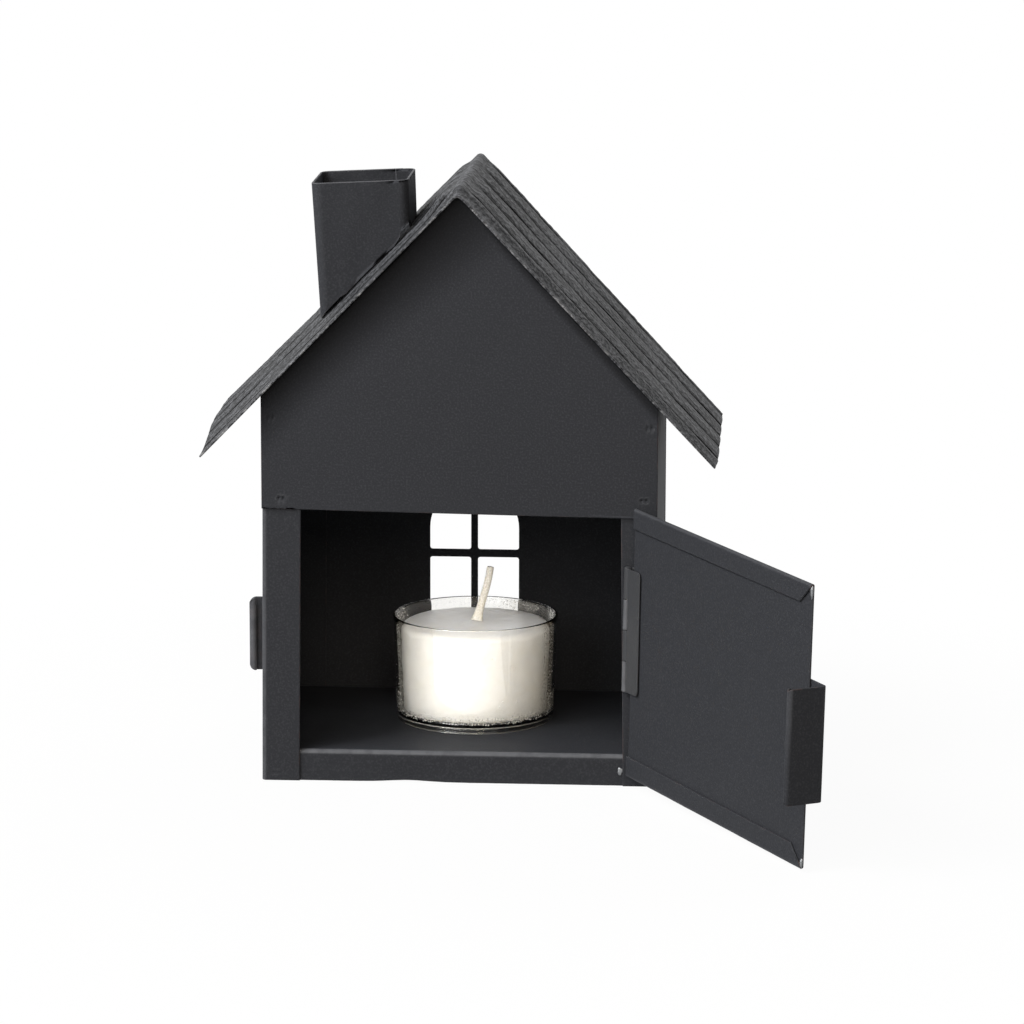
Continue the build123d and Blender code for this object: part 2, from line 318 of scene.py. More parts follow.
def sheet(middle: Array, thickness: float, kept: Array | None = None, pits: Array | None = None) -> Shape:
    """Gives a middle surface its thickness and a rounded edge wherever it ends.

    Each face is the middle surface moved half the thickness along its normals. Along an open edge, points run
    from the one face to the other on half an ellipse, which stands out by a third of the thickness, and the
    middle surface is drawn in by as much, so that the sheet ends where the middle surface did.

    Args:
        middle: grid of points, as rows by columns by 3.
        thickness: thickness of the sheet.
        kept: which cells of the grid are there; without it, all of them.
        pits: for each point of the grid, how much painted shade lies there, from 0 to 1.

    Returns:
        The closed shape, with its edges, folds and painted shade marked.
    """
    rows, columns, _ = middle.shape
    ways = [np.gradient(middle, axis=axis) for axis in (0, 1)]
    normals = unit(np.cross(*ways))
    bend = sum(
        (np.gradient(normals, axis=axis) * way).sum(axis=2) / (way * way).sum(axis=2)
        for axis, way in enumerate(ways)
    ).ravel()
    quads = grid_quads(rows, columns)
    if kept is not None:
        quads = quads[kept.ravel()]
    used, quads = np.unique(quads, return_inverse=True)
    quads, count = quads.reshape(-1, 4), len(used)
    points, normals, bend = middle.reshape(-1, 3)[used], normals.reshape(-1, 3)[used], bend[used]

    edges = np.stack([quads, np.roll(quads, -1, axis=1)], axis=2).reshape(-1, 2)
    open_edges = edges[~np.isin(edges[:, 0] * count + edges[:, 1], edges[:, 1] * count + edges[:, 0])]
    way = points[open_edges[:, 1]] - points[open_edges[:, 0]]
    outward = unit(np.cross(way, normals[open_edges].mean(axis=1)))
    corner = np.zeros_like(points)
    for end in (0, 1):
        np.add.at(corner, open_edges[:, end], outward)
    rim = np.unique(open_edges)
    corner = corner[rim] * 2 / np.maximum((corner[rim] ** 2).sum(axis=1, keepdims=True), 1.5)
    stand_out = thickness / 3
    points[rim] -= corner * stand_out

    angles = np.pi / 2 - np.pi * np.arange(1, EDGE_STEPS) / EDGE_STEPS
    rings = [
        points[rim] + normals[rim] * thickness / 2 * math.sin(angle) + corner * stand_out * math.cos(angle)
        for angle in angles
    ]
    place = np.full(count, -1)
    place[rim] = np.arange(len(rim))
    levels = [place[open_edges] + 2 * count + index * len(rim) for index in range(EDGE_STEPS - 1)]
    levels = [open_edges, *levels, open_edges + count]
    walls = [np.hstack([upper[:, ::-1], lower]) for upper, lower in zip(levels, levels[1:])]
    wall_count = (EDGE_STEPS - 1) * len(rim)
    edge = np.concatenate([np.zeros(2 * count), np.ones(wall_count)])
    edge[np.concatenate([rim, rim + count])] = 0.8
    # A rounded cut edge counts as a third of a sharp fold, so that it is painted a little lighter as a
    # highlight.
    folds = np.concatenate([bend, -bend, np.full(wall_count, SHARP / 3)])
    marks = {"edge": edge, "fold": np.clip(folds / SHARP, 0, 1)}
    # Painted shade goes onto both faces, and no fold highlight is painted where it lies.
    if pits is not None:
        deep = pits.ravel()[used]
        marks["pit"] = np.concatenate([deep, deep, np.zeros(wall_count)])
        marks["fold"] *= marks["pit"] < 0.01
    faces = [quads, quads[:, ::-1] + count, *walls]
    half = normals * thickness / 2
    return Shape(np.concatenate([points + half, points - half, *rings]), faces, marks)


def lathe(profile: Array, centre: tuple[float, float], count: int) -> Shape:
    """Turns a closed or pole-to-pole profile round an upright axis.

    Args:
        profile: radius and height of each point. A profile that starts and ends at radius 0 gets two poles,
            and any other one is closed on itself.
        centre: x and y of the axis.
        count: number of steps round.

    Returns:
        The closed shape.
    """
    poles = profile[0, 0] == 0 and profile[-1, 0] == 0
    body = profile[1:-1] if poles else profile
    turns = 2 * np.pi * np.arange(count) / count
    x, y = (middle + body[:, :1] * way for middle, way in zip(centre, (np.cos(turns), np.sin(turns))))
    points = np.stack([x, y, np.repeat(body[:, 1:], count, axis=1)], axis=2).reshape(-1, 3)
    faces = [grid_quads(len(body), count, close_rows=not poles, close_columns=True)[:, ::-1]]
    if poles:
        ring, last = np.arange(count), (len(body) - 1) * count
        after = np.roll(ring, -1)
        faces += [fan(len(points), after, ring), fan(len(points) + 1, last + ring, last + after)]
        points = np.concatenate([points, [[*centre, profile[end, 1]] for end in (0, -1)]])
    return Shape(points, faces)


def tube(path: Array, section: Array, side_way: Array) -> Shape:
    """Carries a closed section along a path and closes both ends with a fan.

    Args:
        path: points of the path.
        section: for each point of the path, the section's points as pairs, sideways and forwards.
        side_way: direction that the section's first axis keeps.

    Returns:
        The closed shape.
    """
    tangents = unit(np.gradient(path, axis=0))
    second = unit(np.cross(tangents, side_way))
    first = np.cross(second, tangents)
    rings = path[:, None] + first[:, None] * section[..., :1] + second[:, None] * section[..., 1:]
    count, around = section.shape[:2]
    ring, last = np.arange(around), (count - 1) * around
    after, pole = np.roll(ring, -1), count * around
    faces = [grid_quads(count, around, close_columns=True)]
    faces += [fan(pole, ring, after), fan(pole + 1, last + after, last + ring)]
    return Shape(np.concatenate([rings.reshape(-1, 3), rings[[0, -1]].mean(axis=1)]), faces)


def linear(colour: str) -> tuple[float, float, float, float]:
    """Turns an sRGB colour, written as #rrggbb, into the linear colour that shaders take."""
    values = [int(colour[start : start + 2], 16) / 255 for start in (1, 3, 5)]
    red, green, blue = (v / 12.92 if v <= 0.04045 else ((v + 0.055) / 1.055) ** 2.4 for v in values)
    return red, green, blue, 1.0


class Nodes:
    """Nodes that the finishes and the studio share, added to one tree.

    Attributes:
        owner: the material or world that the tree belongs to.
        tree: its node tree, which starts with nothing but its output.
    """

    def __init__(self, owner: bpy.types.Material | bpy.types.World, output: str = "OutputMaterial") -> None:
        """Empties the tree of a new material or world and adds its output.

        Args:
            owner: the material or world.
            output: type of its output node.
        """
        self.owner = owner
        owner.use_nodes = True
        self.tree = owner.node_tree
        self.tree.nodes.clear()
        self.surface = self.add(output).inputs["Surface"]

    @classmethod
    def named(cls, name: str) -> "Nodes":
        """Starts a material."""
        return cls(bpy.data.materials.new(name))

    def add(self, kind: str, settings: dict | None = None, **inputs: object) -> bpy.types.Node:
        """Adds a node with its settings, values and links.

        Args:
            kind: the node's type, without the ShaderNode that Blender's names start with.
            settings: values of the node's own properties.
            inputs: what each input takes, by the input's name with _ for a space, or by in0, in1 and so on:
                a value, or an output of another node.

        Returns:
            The node.
        """
        node = self.tree.nodes.new(f"ShaderNode{kind}")
        for name, value in (settings or {}).items():
            setattr(node, name, value)
        for name, value in inputs.items():
            numbered = name.startswith("in") and name[2:].isdigit()
            socket = node.inputs[int(name[2:]) if numbered else name.replace("_", " ")]
            if isinstance(value, Socket):
                self.tree.links.new(value, socket)
            else:
                socket.default_value = value
        return node

    def end(self, shader: bpy.types.Node) -> bpy.types.Material | bpy.types.World:
        """Joins the last shader to the output, and gives the material or world."""
        self.tree.links.new(shader.outputs[0], self.surface)
        return self.owner

    def mark(self, name: str) -> Socket:
        """Reads one of the marks of a shape."""
        return self.add("Attribute", {"attribute_name": name}).outputs["Fac"]

    def grain(self, size: float, detail: float, draw: tuple[float, float, float] | None = None) -> Socket:
        """Adds a noise over the object's own coordinates.

        Args:
            size: size of a lump in millimetres.
            detail: number of finer layers.
            draw: factors of the coordinates, which draw the lumps out where they are less than 1.

        Returns:
            The noise, about 0.5 in the middle.
        """
        place = self.add("TexCoord").outputs["Object"]
        if draw:
            place = self.add("Mapping", Vector=place, Scale=draw).outputs[0]
        return self.add("TexNoise", Vector=place, Scale=1 / (size * MM), Detail=detail).outputs[0]

    def ramp(
        self, value: Socket, low: float, high: float, to_low: float = 0.0, to_high: float = 1.0
    ) -> Socket:
        """Maps a value in a straight line from low..high to to_low..to_high, and holds it beyond."""
        return self.add("MapRange", in0=value, in1=low, in2=high, in3=to_low, in4=to_high).outputs[0]

    def blend(self, share: object, first: object, second: object) -> Socket:
        """Mixes two colours, by the share of the second."""
        return self.add("Mix", {"data_type": "RGBA"}, in0=share, in6=first, in7=second).outputs[2]

    def maths(self, operation: str, first: object, second: object) -> Socket:
        """Works out one operation of two values."""
        return self.add("Math", {"operation": operation}, in0=first, in1=second).outputs[0]

    def rays(self, *kinds: str) -> Socket:
        """Gives 1 for rays of any of these kinds and 0 for others."""
        path = self.add("LightPath").outputs
        seen = path[f"Is {kinds[0]} Ray"]
        for kind in kinds[1:]:
            seen = self.maths("MAXIMUM", seen, path[f"Is {kind} Ray"])
        return seen

    def bump(self, height: Socket, depth: float, **under: Socket) -> Socket:
        """Turns a height, whose unit is a depth in millimetres, into a normal, over another one if given."""
        return self.add("Bump", Height=height, Strength=1.0, Distance=depth * MM, **under).outputs[0]

    def mix(self, share: Socket, first: bpy.types.Node, second: bpy.types.Node) -> bpy.types.Material:
        """Ends with two shaders mixed, by the share of the second."""
        return self.end(self.add("MixShader", in0=share, in1=first.outputs[0], in2=second.outputs[0]))


@dataclass(frozen=True)
class MattPaint:
    """Matt black spray paint on thin tin sheet.

    The paint dries to a fine orange peel, seen as a grain with lighter peaks. Folds are painted lighter and
    burnished smoother, partly as wear from handling and partly as a painted highlight on the bend. Along cut
    edges the coat is thin, so that rusty brown steel shows in places. Weld dents, the roof's grooves and the
    corners under the eaves get painted shade: the paint is darker and duller there.
    """

    name: str
    colour: str = "#222326"
    peak_colour: str = "#2a2b2e"
    # Colour of folds, partly wear from handling and partly a painted highlight on the bend.
    rub_and_highlight_colour: str = "#494a4d"
    wear_and_edge_highlight_colour: str = "#4a342d"
    # Colour of the painted shade in weld dents, roof grooves and the corners under the eaves.
    pit_colour: str = "#0c0c0c"
    roughness: float = 0.6
    rubbed_roughness: float = 0.4
    peel_size: float = 0.42  # lumps of the sprayed coat, drawn coarser than usual so that they show
    peel_depth: float = 0.035
    swell_size: float = 2.6  # slow waves of the coat, and patches of wear
    swell_depth: float = 0.03
    specular: float = 0.05
    wear: float = 0.2

    def relief(self, nodes: Nodes) -> tuple[Socket, Socket]:
        """Makes the height of the orange peel, and the share of the lighter colour of its peaks."""
        peel = nodes.grain(self.peel_size, 2.0)
        return peel, nodes.ramp(peel, 0.48, 0.7)

    def make(self) -> bpy.types.Material:
        """Makes the material: each colour covers the ones before it by its own share."""
        nodes = Nodes.named(self.name)
        height, peaks = self.relief(nodes)
        swells = nodes.grain(self.swell_size, 2.0)
        # Folds are painted lighter and smoother: partly wear from handling, partly a painted highlight on the
        # bend.
        rub_and_highlight = nodes.maths("MULTIPLY", nodes.mark("fold"), nodes.ramp(swells, 0.3, 0.6, 0.6, 1.0))
        # Cut edges show rusty steel, and on the roof a light grey painted highlight instead.
        wear_and_edge_highlight = nodes.maths("MULTIPLY", nodes.mark("edge"), nodes.ramp(swells, 0.5, 0.62, 0.0, self.wear))
        # The shade mark is painted shade: near-black, duller paint in weld dents, grooves and under the eaves.
        pit = nodes.mark("pit")
        colour = linear(self.colour)
        for share, cover in (
            (peaks, self.peak_colour),
            (rub_and_highlight, self.rub_and_highlight_colour),
            (wear_and_edge_highlight, self.wear_and_edge_highlight_colour),
            (nodes.ramp(pit, 0.1, 0.6), self.pit_colour),
        ):
            colour = nodes.blend(share, colour, linear(cover))
        waves = nodes.bump(swells, self.swell_depth)
        return nodes.end(nodes.add(
            "BsdfPrincipled",
            Base_Color=colour,
            Roughness=nodes.ramp(rub_and_highlight, 0.0, 1.0, self.roughness, self.rubbed_roughness),
            Normal=nodes.bump(height, self.peel_depth, Normal=waves),
            Specular_IOR_Level=nodes.ramp(pit, 0.0, 0.6, self.specular, 0.0),
        ))


@dataclass(frozen=True)
class PressedTinPaint(MattPaint):
    """The same paint on tin that is pressed like weathered shingles.

    Fine ridges run down the slopes and a pebbled grain lies between them. Their tops are worn paler, and
    the grooves between the tiles get painted shade, dark and dull.
    """

    name: str = "matt_paint_on_pressed_tin"
    colour: str = "#111214"
    peak_colour: str = "#434447"
    rub_and_highlight_colour: str = "#4c4d51"
    # On the roof the cut edges get a light grey painted highlight in place of rust.
    wear_and_edge_highlight_colour: str = "#6c6c6d"
    peel_size: float = 0.9  # width of a pebble
    peel_depth: float = 0.36
    specular: float = 0.18
    # How far that painted edge highlight covers the roof's cut edges.
    wear: float = 0.6
    streak_size: float = 2.6  # width of a ridge
    streak_draw: float = 0.1
    pebble_draw: float = 0.45

    def relief(self, nodes: Nodes) -> tuple[Socket, Socket]:
        """Makes the height, of a noise drawn out down the slopes and long pebbles, and its tops' share."""
        streaks = nodes.grain(self.streak_size, 2.0, (self.streak_draw, 1.0, self.streak_draw))
        pebbles = nodes.ramp(nodes.grain(self.peel_size, 1.0, (1.0, self.pebble_draw, 1.0)), 0.3, 0.7)
        height = nodes.maths("ADD", nodes.ramp(streaks, 0.35, 0.65, 0.0, 0.7), pebbles)
        return height, nodes.ramp(height, 0.65, 1.35)


@dataclass(frozen=True)
class ClearPlastic:
    """Clear moulded plastic of a tealight cup, polished, with a painted warm glint at the left and right ends
    of its rim.

    Lamps shine through the thin wall, so it casts almost no shadow.
    """

    name: str = "clear_plastic"
    colour: str = "#fffefb"
    rim_glint_colour: str = "#e3c08f"
    roughness: float = 0.03
    ior: float = 1.57
    ripple_size: float = 3.0  # waves that the mould leaves
    ripple_depth: float = 0.006

    def make(self) -> bpy.types.Material:
        """Makes the material."""
        nodes = Nodes.named(self.name)
        plastic = nodes.add(
            "BsdfPrincipled",
            Base_Color=nodes.blend(nodes.mark("edge"), linear(self.colour), linear(self.rim_glint_colour)),
            Roughness=self.roughness,
            IOR=self.ior,
            Transmission_Weight=1.0,
            Normal=nodes.bump(nodes.grain(self.ripple_size, 1.0), self.ripple_depth),
        )
        clear = nodes.add("BsdfTransparent", Color=linear(self.colour))
        return nodes.mix(nodes.rays("Shadow", "Diffuse"), plastic, clear)


@dataclass(frozen=True)
class ParaffinWax:
    """White paraffin wax, cast in its cup.

    Light goes a few millimetres into it, so that its edges glow and its shaded side turns warm. Its surface
    is silky, with a faint mottle from cooling.
    """

    name: str = "paraffin_wax"
    colour: str = "#fefdfb"
    mottle_colour: str = "#f7f6f3"
    roughness: float = 0.3
    ior: float = 1.43
    depth: float = 11.0
    glow: tuple[float, float, float] = (1.0, 0.97, 0.92)
    mottle_size: float = 4.0  # patches that cooled at different times
    grain_size: float = 0.8  # grain of the cast surface, drawn coarser than usual so that it shows
    grain_depth: float = 0.04

    def make(self) -> bpy.types.Material:
        """Makes the material."""
        nodes = Nodes.named(self.name)
        mottle = nodes.ramp(nodes.grain(self.mottle_size, 3.0), 0.4, 0.65)
        return nodes.end(nodes.add(
            "BsdfPrincipled",
            Base_Color=nodes.blend(mottle, linear(self.colour), linear(self.mottle_colour)),
            Roughness=self.roughness,
            IOR=self.ior,
            Subsurface_Weight=1.0,
            Subsurface_Radius=self.glow,
            Subsurface_Scale=self.depth * MM,
            Normal=nodes.bump(nodes.grain(self.grain_size, 2.0), self.grain_depth),
        ))


@dataclass(frozen=True)
class WaxFilm:
    """Thin film of wax left on the inside of the cup: a faint frost with streaks and many small dots."""

    name: str = "wax_film"
    colour: str = "#e9e8e4"
    haze: float = 0.28
    dots: float = 0.9
    dot_size: float = 0.45  # width of a dot of wax
    streak_size: float = 0.8  # width of a streak
    streak_draw: float = 0.15

    def make(self) -> bpy.types.Material:
        """Makes the material."""
        nodes = Nodes.named(self.name)
        drawn = nodes.grain(self.streak_size, 2.0, (1.0, 1.0, self.streak_draw))
        streaks = nodes.ramp(drawn, 0.35, 0.7, self.haze * 0.3, self.haze)
        dots = nodes.ramp(nodes.grain(self.dot_size, 1.0), 0.58, 0.66, 0.0, self.dots)
        cover = nodes.maths("MULTIPLY", nodes.mark("frost"), nodes.maths("MAXIMUM", streaks, dots))
        frost = nodes.add("BsdfDiffuse", Color=linear(self.colour))
        return nodes.mix(cover, nodes.add("BsdfTransparent"), frost)


@dataclass(frozen=True)
class WaxedCotton:
    """Flat-braided cotton dipped in wax: cream, with grey shadows between its strands, and silky."""

    name: str = "waxed_cotton"
    colour: str = "#f0ede4"
    hollow_colour: str = "#d6d2c6"
    roughness: float = 0.5
    depth: float = 0.5
    glow: tuple[float, float, float] = (1.0, 0.9, 0.7)
    strand_size: float = 0.35  # threads of a strand, drawn coarser than usual so that they show
    strand_depth: float = 0.03

    def make(self) -> bpy.types.Material:
        """Makes the material."""
        nodes = Nodes.named(self.name)
        strands = nodes.grain(self.strand_size, 2.0)
        tops = nodes.ramp(strands, 0.35, 0.6)
        return nodes.end(nodes.add(
            "BsdfPrincipled",
            Base_Color=nodes.blend(tops, linear(self.hollow_colour), linear(self.colour)),
            Roughness=self.roughness,
            Subsurface_Weight=0.3,
            Subsurface_Radius=self.glow,
            Subsurface_Scale=self.depth * MM,
            Normal=nodes.bump(strands, self.strand_depth),
        ))


@dataclass(frozen=True)
class Tinplate:
    """Rolled tinplate: pale metal with fine rolling marks along one way.

    It is bright on the wick's tab, and greyer and duller where the paint has chipped off the house.
    """

    name: str = "tinplate"
    colour: str = "#c9cbcc"
    roughness: float = 0.32
    mark_size: float = 0.3  # rolling marks, drawn coarser than usual so that they show
    mark_draw: float = 12.0
    mark_wear: float = 0.1

    def make(self) -> bpy.types.Material:
        """Makes the material."""
        nodes = Nodes.named(self.name)
        marks = nodes.grain(self.mark_size, 2.0, (1.0, self.mark_draw, 1.0))
        low, high = self.roughness - self.mark_wear, self.roughness + self.mark_wear
        return nodes.end(nodes.add(
            "BsdfPrincipled",
            Base_Color=linear(self.colour),
            Metallic=1.0,
            Roughness=nodes.ramp(marks, 0.3, 0.7, low, high),
        ))


@dataclass(frozen=True)
class Finishes:
    """All finishes of the object, each made once."""

    sheet: bpy.types.Material
    roof: bpy.types.Material
    hinge: bpy.types.Material
    plastic: bpy.types.Material
    wax: bpy.types.Material
    film: bpy.types.Material
    wick: bpy.types.Material
    tab: bpy.types.Material
    bare: bpy.types.Material

    @classmethod
    def make(cls) -> "Finishes":
        """Makes every material of the object."""
        return cls(
            sheet=MattPaint("matt_paint_on_tin").make(),
            roof=PressedTinPaint().make(),
            hinge=MattPaint("matt_paint_on_steel", colour="#27282a", roughness=0.5, specular=0.25).make(),
            plastic=ClearPlastic().make(),
            wax=ParaffinWax().make(),
            film=WaxFilm().make(),
            wick=WaxedCotton().make(),
            tab=Tinplate().make(),
            bare=Tinplate("bare_tin", colour="#77797b", roughness=0.5, mark_size=0.15).make(),
        )


@dataclass(frozen=True)
class Outline:
    """Sizes of the house that several of its pieces share, read from the frame where it holds them."""

    sheet: float = 0.5  # thickness of the sheet
    bend: float = 0.9  # outer radius of a fold
    roof_pitch: float = 46.5  # mean pitch of the two slopes, in degrees
    roof_tilt: float = 0.8  # how far the roof sits crooked, in degrees
    stile_width: float = 8.0  # width of the stiles beside the doorway

    @property
    def half_width(self) -> float:
        """Half the width of the body."""
        return float(box_of("front_gable")[1][0])

    @property
    def apex(self) -> float:
        """Height where the undersides of the two slopes meet."""
        return float(box_of("front_gable")[1][2])

    def pitch(self, side: Array | int) -> Array:
        """Gives the pitch of a slope in radians, for the sign of x."""
        return np.radians(self.roof_pitch + np.sign(side) * self.roof_tilt)

    def under_roof(self, x: Array) -> Array:
        """Gives the height of the roof's underside: the apex less |x| tan(pitch)."""
        return self.apex - np.abs(x) * np.tan(self.pitch(x))


def bead(middle: Array, radii: Sequence[float], seed: int) -> Shape:
    """Makes a lumpy bead, such as a burr of tin: a ball stretched by its radii and swelled by short waves.

    Args:
        middle: middle of the bead.
        radii: radii along x, y and z.
        seed: seed of its lumps.

    Returns:
        The closed shape.
    """
    arc = np.linspace(-np.pi / 2, np.pi / 2, 13)
    profile = np.stack([np.cos(arc), np.sin(arc)], axis=1)
    profile[[0, -1], 0] = 0.0
    shape = lathe(profile, (0.0, 0.0), 24)
    lumps = 1 + 0.35 * swell(shape.points[:, 0] + shape.points[:, 1], shape.points[:, 2], seed, 1.9, 3)
    shape.points = middle + shape.points * lumps[:, None] * np.array(radii)
    return shape


@dataclass
class Shell:
    """Body of the house: two folded side walls, the gable and back panels and the floor pan."""

    outline: Outline
    finishes: Finishes
    roof_rise: float = 0.6  # how far a wall's top stands into the hollow of the roof sheet
    # How much higher that is behind the left stile, and the depth over which it rises.
    left_rise: tuple[float, float] = (0.5, 5.5)
    right_rise: float = 0.65  # how much higher it is at the right wall
    weld_radius: float = 0.34  # radius of the dent that a spot weld leaves
    weld_depth: float = 0.34  # depth of that dent
    weld_spread: float = 1.0  # distance between the two pits of a weld
    weld_shade: float = 0.42  # how dark the painted shade in a weld dent on the gable is
    # x and z of the welds on the gable.
    gable_welds: tuple[tuple[float, float], ...] = ((-41.7, 82.8), (-39.6, 64.8), (42.1, 81.7), (41.0, 65.3))
    # Where fine grid lines follow the welds: above the gable's lower edge, and as a share.
    gable_rows: tuple[float, float] = (3.3, 0.86)
    # Height of the weld at the foot of each stile, and its distance from the side.
    stile_weld: tuple[float, float] = (1.9, 3.4)
    left_splay: float = 0.5  # how far the foot of the left wall stands out
    # How much wider the left stile is at its foot and at the doorway's top.
    left_stile: tuple[float, float] = (0.5, 0.65)
    right_stile: tuple[float, float] = (-0.8, 0.0)  # the same for the right stile
    burnish_and_highlight: float = 0.6  # how far the folds of the walls are worn by handling and painted lighter as a highlight
    eave_shadow_depth: float = 0.5  # how dark the painted shadow under the left slope is
    eave_shadow_reach: float = 8.0  # width of that painted shadow
    # How much wider it is at the apex, as a share, and over what height.
    eave_shadow_apex: tuple[float, float] = (0.8, 26.0)
    eave_shadow_line: tuple[float, float] = (0.4, 1.5)  # how dark and how wide the painted shadow line under the right slope is
    wave: float = 0.08  # how far the panels are out of flat
    lip_wave: tuple[float, float] = (0.35, 0.25)  # height and depth of the wave in the lower edge of the lip
    lip_wave_x: float = -11.5  # where that wave is
    lip_wave_width: float = 6.0  # width of that wave
    lip_ripple: float = 0.05  # how far the lip is out of flat besides
    chip_place: tuple[float, float] = (36.1, 3.5)  # x and z of the chip of bare tin on the lip
    chip_size: tuple[float, float, float] = (0.6, 0.22, 0.8)  # radii of that chip

    def dents(self, first: Array, second: Array, places: Sequence[tuple[float, float]]) -> Array:
        """Adds up the dents of spot welds: each is two bell-shaped dips side by side.

        Args:
            first: first coordinate along the sheet.
            second: second coordinate along the sheet.
            places: where the welds are.

        Returns:
            Height of the sheet, negative in the hollows.
        """
        height = np.zeros(np.broadcast(first, second).shape)
        for at_first, at_second in places:
            for shift in (-self.weld_spread / 2, self.weld_spread / 2):
                reach = np.hypot(first - at_first - shift, second - at_second)
                height -= self.weld_depth * hump(0.0, self.weld_radius, reach)
        return height

    def painted_eave_shade(self, x: Array, z: Array) -> Array:
        """Gives the painted shadow of the two slopes' overhang on the gable: how dark the paint is under them.

        It falls off as the bell curve of the distance to a slope's underside. Under the left slope the curve
        is wide, and widest at the apex. Under the right one it is a narrow line.

        Args:
            x: place across the gable.
            z: height.

        Returns:
            Shares from 0 to 1.
        """
        apex = self.outline.apex
        wider, height = self.eave_shadow_apex
        left_reach = self.eave_shadow_reach * (1 + wider * hump(apex, height, z))
        shares = []
        for side, depth, reach in ((-1, self.eave_shadow_depth, left_reach), (1, *self.eave_shadow_line)):
            pitch = self.outline.pitch(side)
            below = (apex - side * x * math.tan(pitch) - z) * math.cos(pitch)
            shares.append(depth * hump(0.0, reach, np.maximum(below, 0)))
        return np.maximum(*shares)

    def side_wall(self, side: Side) -> None:
        """Folds a side wall: stile, wall and rear flange in one strip, cut to the slope of the roof.

        The strip's section is drawn in plan, and each point of it rises to the roof above it.

        Args:
            side: which wall.
        """
        size, name = self.outline, f"{side.name.lower()}_wall"
        low, high = box_of(name)
        inner, middle = size.half_width - size.stile_width, size.half_width - size.sheet / 2
        front, back = low[1] + size.sheet / 2, high[1] - size.sheet / 2
        radius = size.bend - size.sheet / 2
        pen = Strip((inner, front), 0.0, step=2.0)
        pen.run(middle - inner - radius).turn(radius, 90).run(back - front - 2 * radius).turn(radius, 90)
        plan = pen.run(middle - inner - radius).points()
        rise, reach = self.left_rise
        hollow = self.right_rise if side is Side.RIGHT else rise * smooth(0, reach, plan[:, 1] - front)
        top = size.under_roof(side.value * plan[:, 0]) + self.roof_rise + hollow
        weld, weld_inset = self.stile_weld
        z = np.outer(top, refined(spread((0.0, 1.0), 0.025, 0.003), [weld / top.mean()], 0.014, 0.002))
        x, y = over_grid(plan, z.shape)
        bulge = self.wave * swell(y, z, 11 + side.value, 70.0) * held(6, y - front, back - y)
        on_stile = y < front + size.sheet / 2
        dent = np.where(on_stile, self.dents(x, z, [(size.half_width - weld_inset, weld)]), 0.0)
        foot, doorway = self.left_stile if side is Side.LEFT else self.right_stile
        share = np.clip(z / box_of("front_gable")[0][2], 0, 1)
        inwards = np.clip((middle - x) / (middle - inner), 0, 1) * on_stile
        x = x - (foot * (1 - share) + doorway * share) * inwards
        splay = self.left_splay * (side is Side.LEFT) * (1 - share)
        points = np.stack([side.value * (x + bulge - self.wave + splay), y - dent * 0.4, z], axis=2)
        shape = sheet(points, size.sheet)
        shape.marks["fold"] *= self.burnish_and_highlight
        shape.place(f"{name}_sheet", self.finishes.sheet, Body.HOUSE, "painted_sheet", name)

    def gable(self) -> None:
        """Cuts the gable panel: between its crooked lower edge and the roof, slightly out of flat.

        A point's height is a share of the way from the lower edge to the roof at its x.
        """
        size = self.outline
        low, high = box_of("front_gable")
        drop = math.tan(math.radians(size.roof_tilt))
        lowest = low[2] + size.half_width * drop
        x = refined(spread((low[0], 0.0, high[0]), 1.6), [weld[0] for weld in self.gable_welds], 1.2, 0.15)
        bottom = lowest - x * drop
        top = size.under_roof(x) + self.roof_rise + self.right_rise * np.clip(x / size.half_width, 0, 1)
        wall_height = size.under_roof(np.array([size.half_width]))[0] - lowest
        rows = [self.gable_rows[0] / wall_height, self.gable_rows[1]]
        share = refined(spread((0.0, 1.0), 0.02, 0.004), rows, 0.055, 0.006)
        z = bottom[:, None] + np.outer(top - bottom, share)
        x = np.broadcast_to(x[:, None], z.shape)
        flat = smooth(0, 5, size.half_width - np.abs(x)) * smooth(0, 4, z - lowest)
        y = low[1] + size.sheet / 2 + np.maximum(self.wave * 0.8 * swell(x, z, 5, 60.0) * flat, 0.0)
        dent = self.dents(x, z, self.gable_welds)
        # Painted shade in the weld dents, darker the deeper the dent.
        weld_shade_share = -self.weld_shade * dent / self.weld_depth
        points = np.stack([x, y - dent, z], axis=2)
        # The gable's shade shares paint the shadow under the eaves onto it, and the shade in its weld dents.
        shape = sheet(points, size.sheet, pits=np.maximum(weld_shade_share, self.painted_eave_shade(x, z)))
        shape.place("gable_sheet", self.finishes.sheet, Body.HOUSE, "painted_sheet", "front_gable")

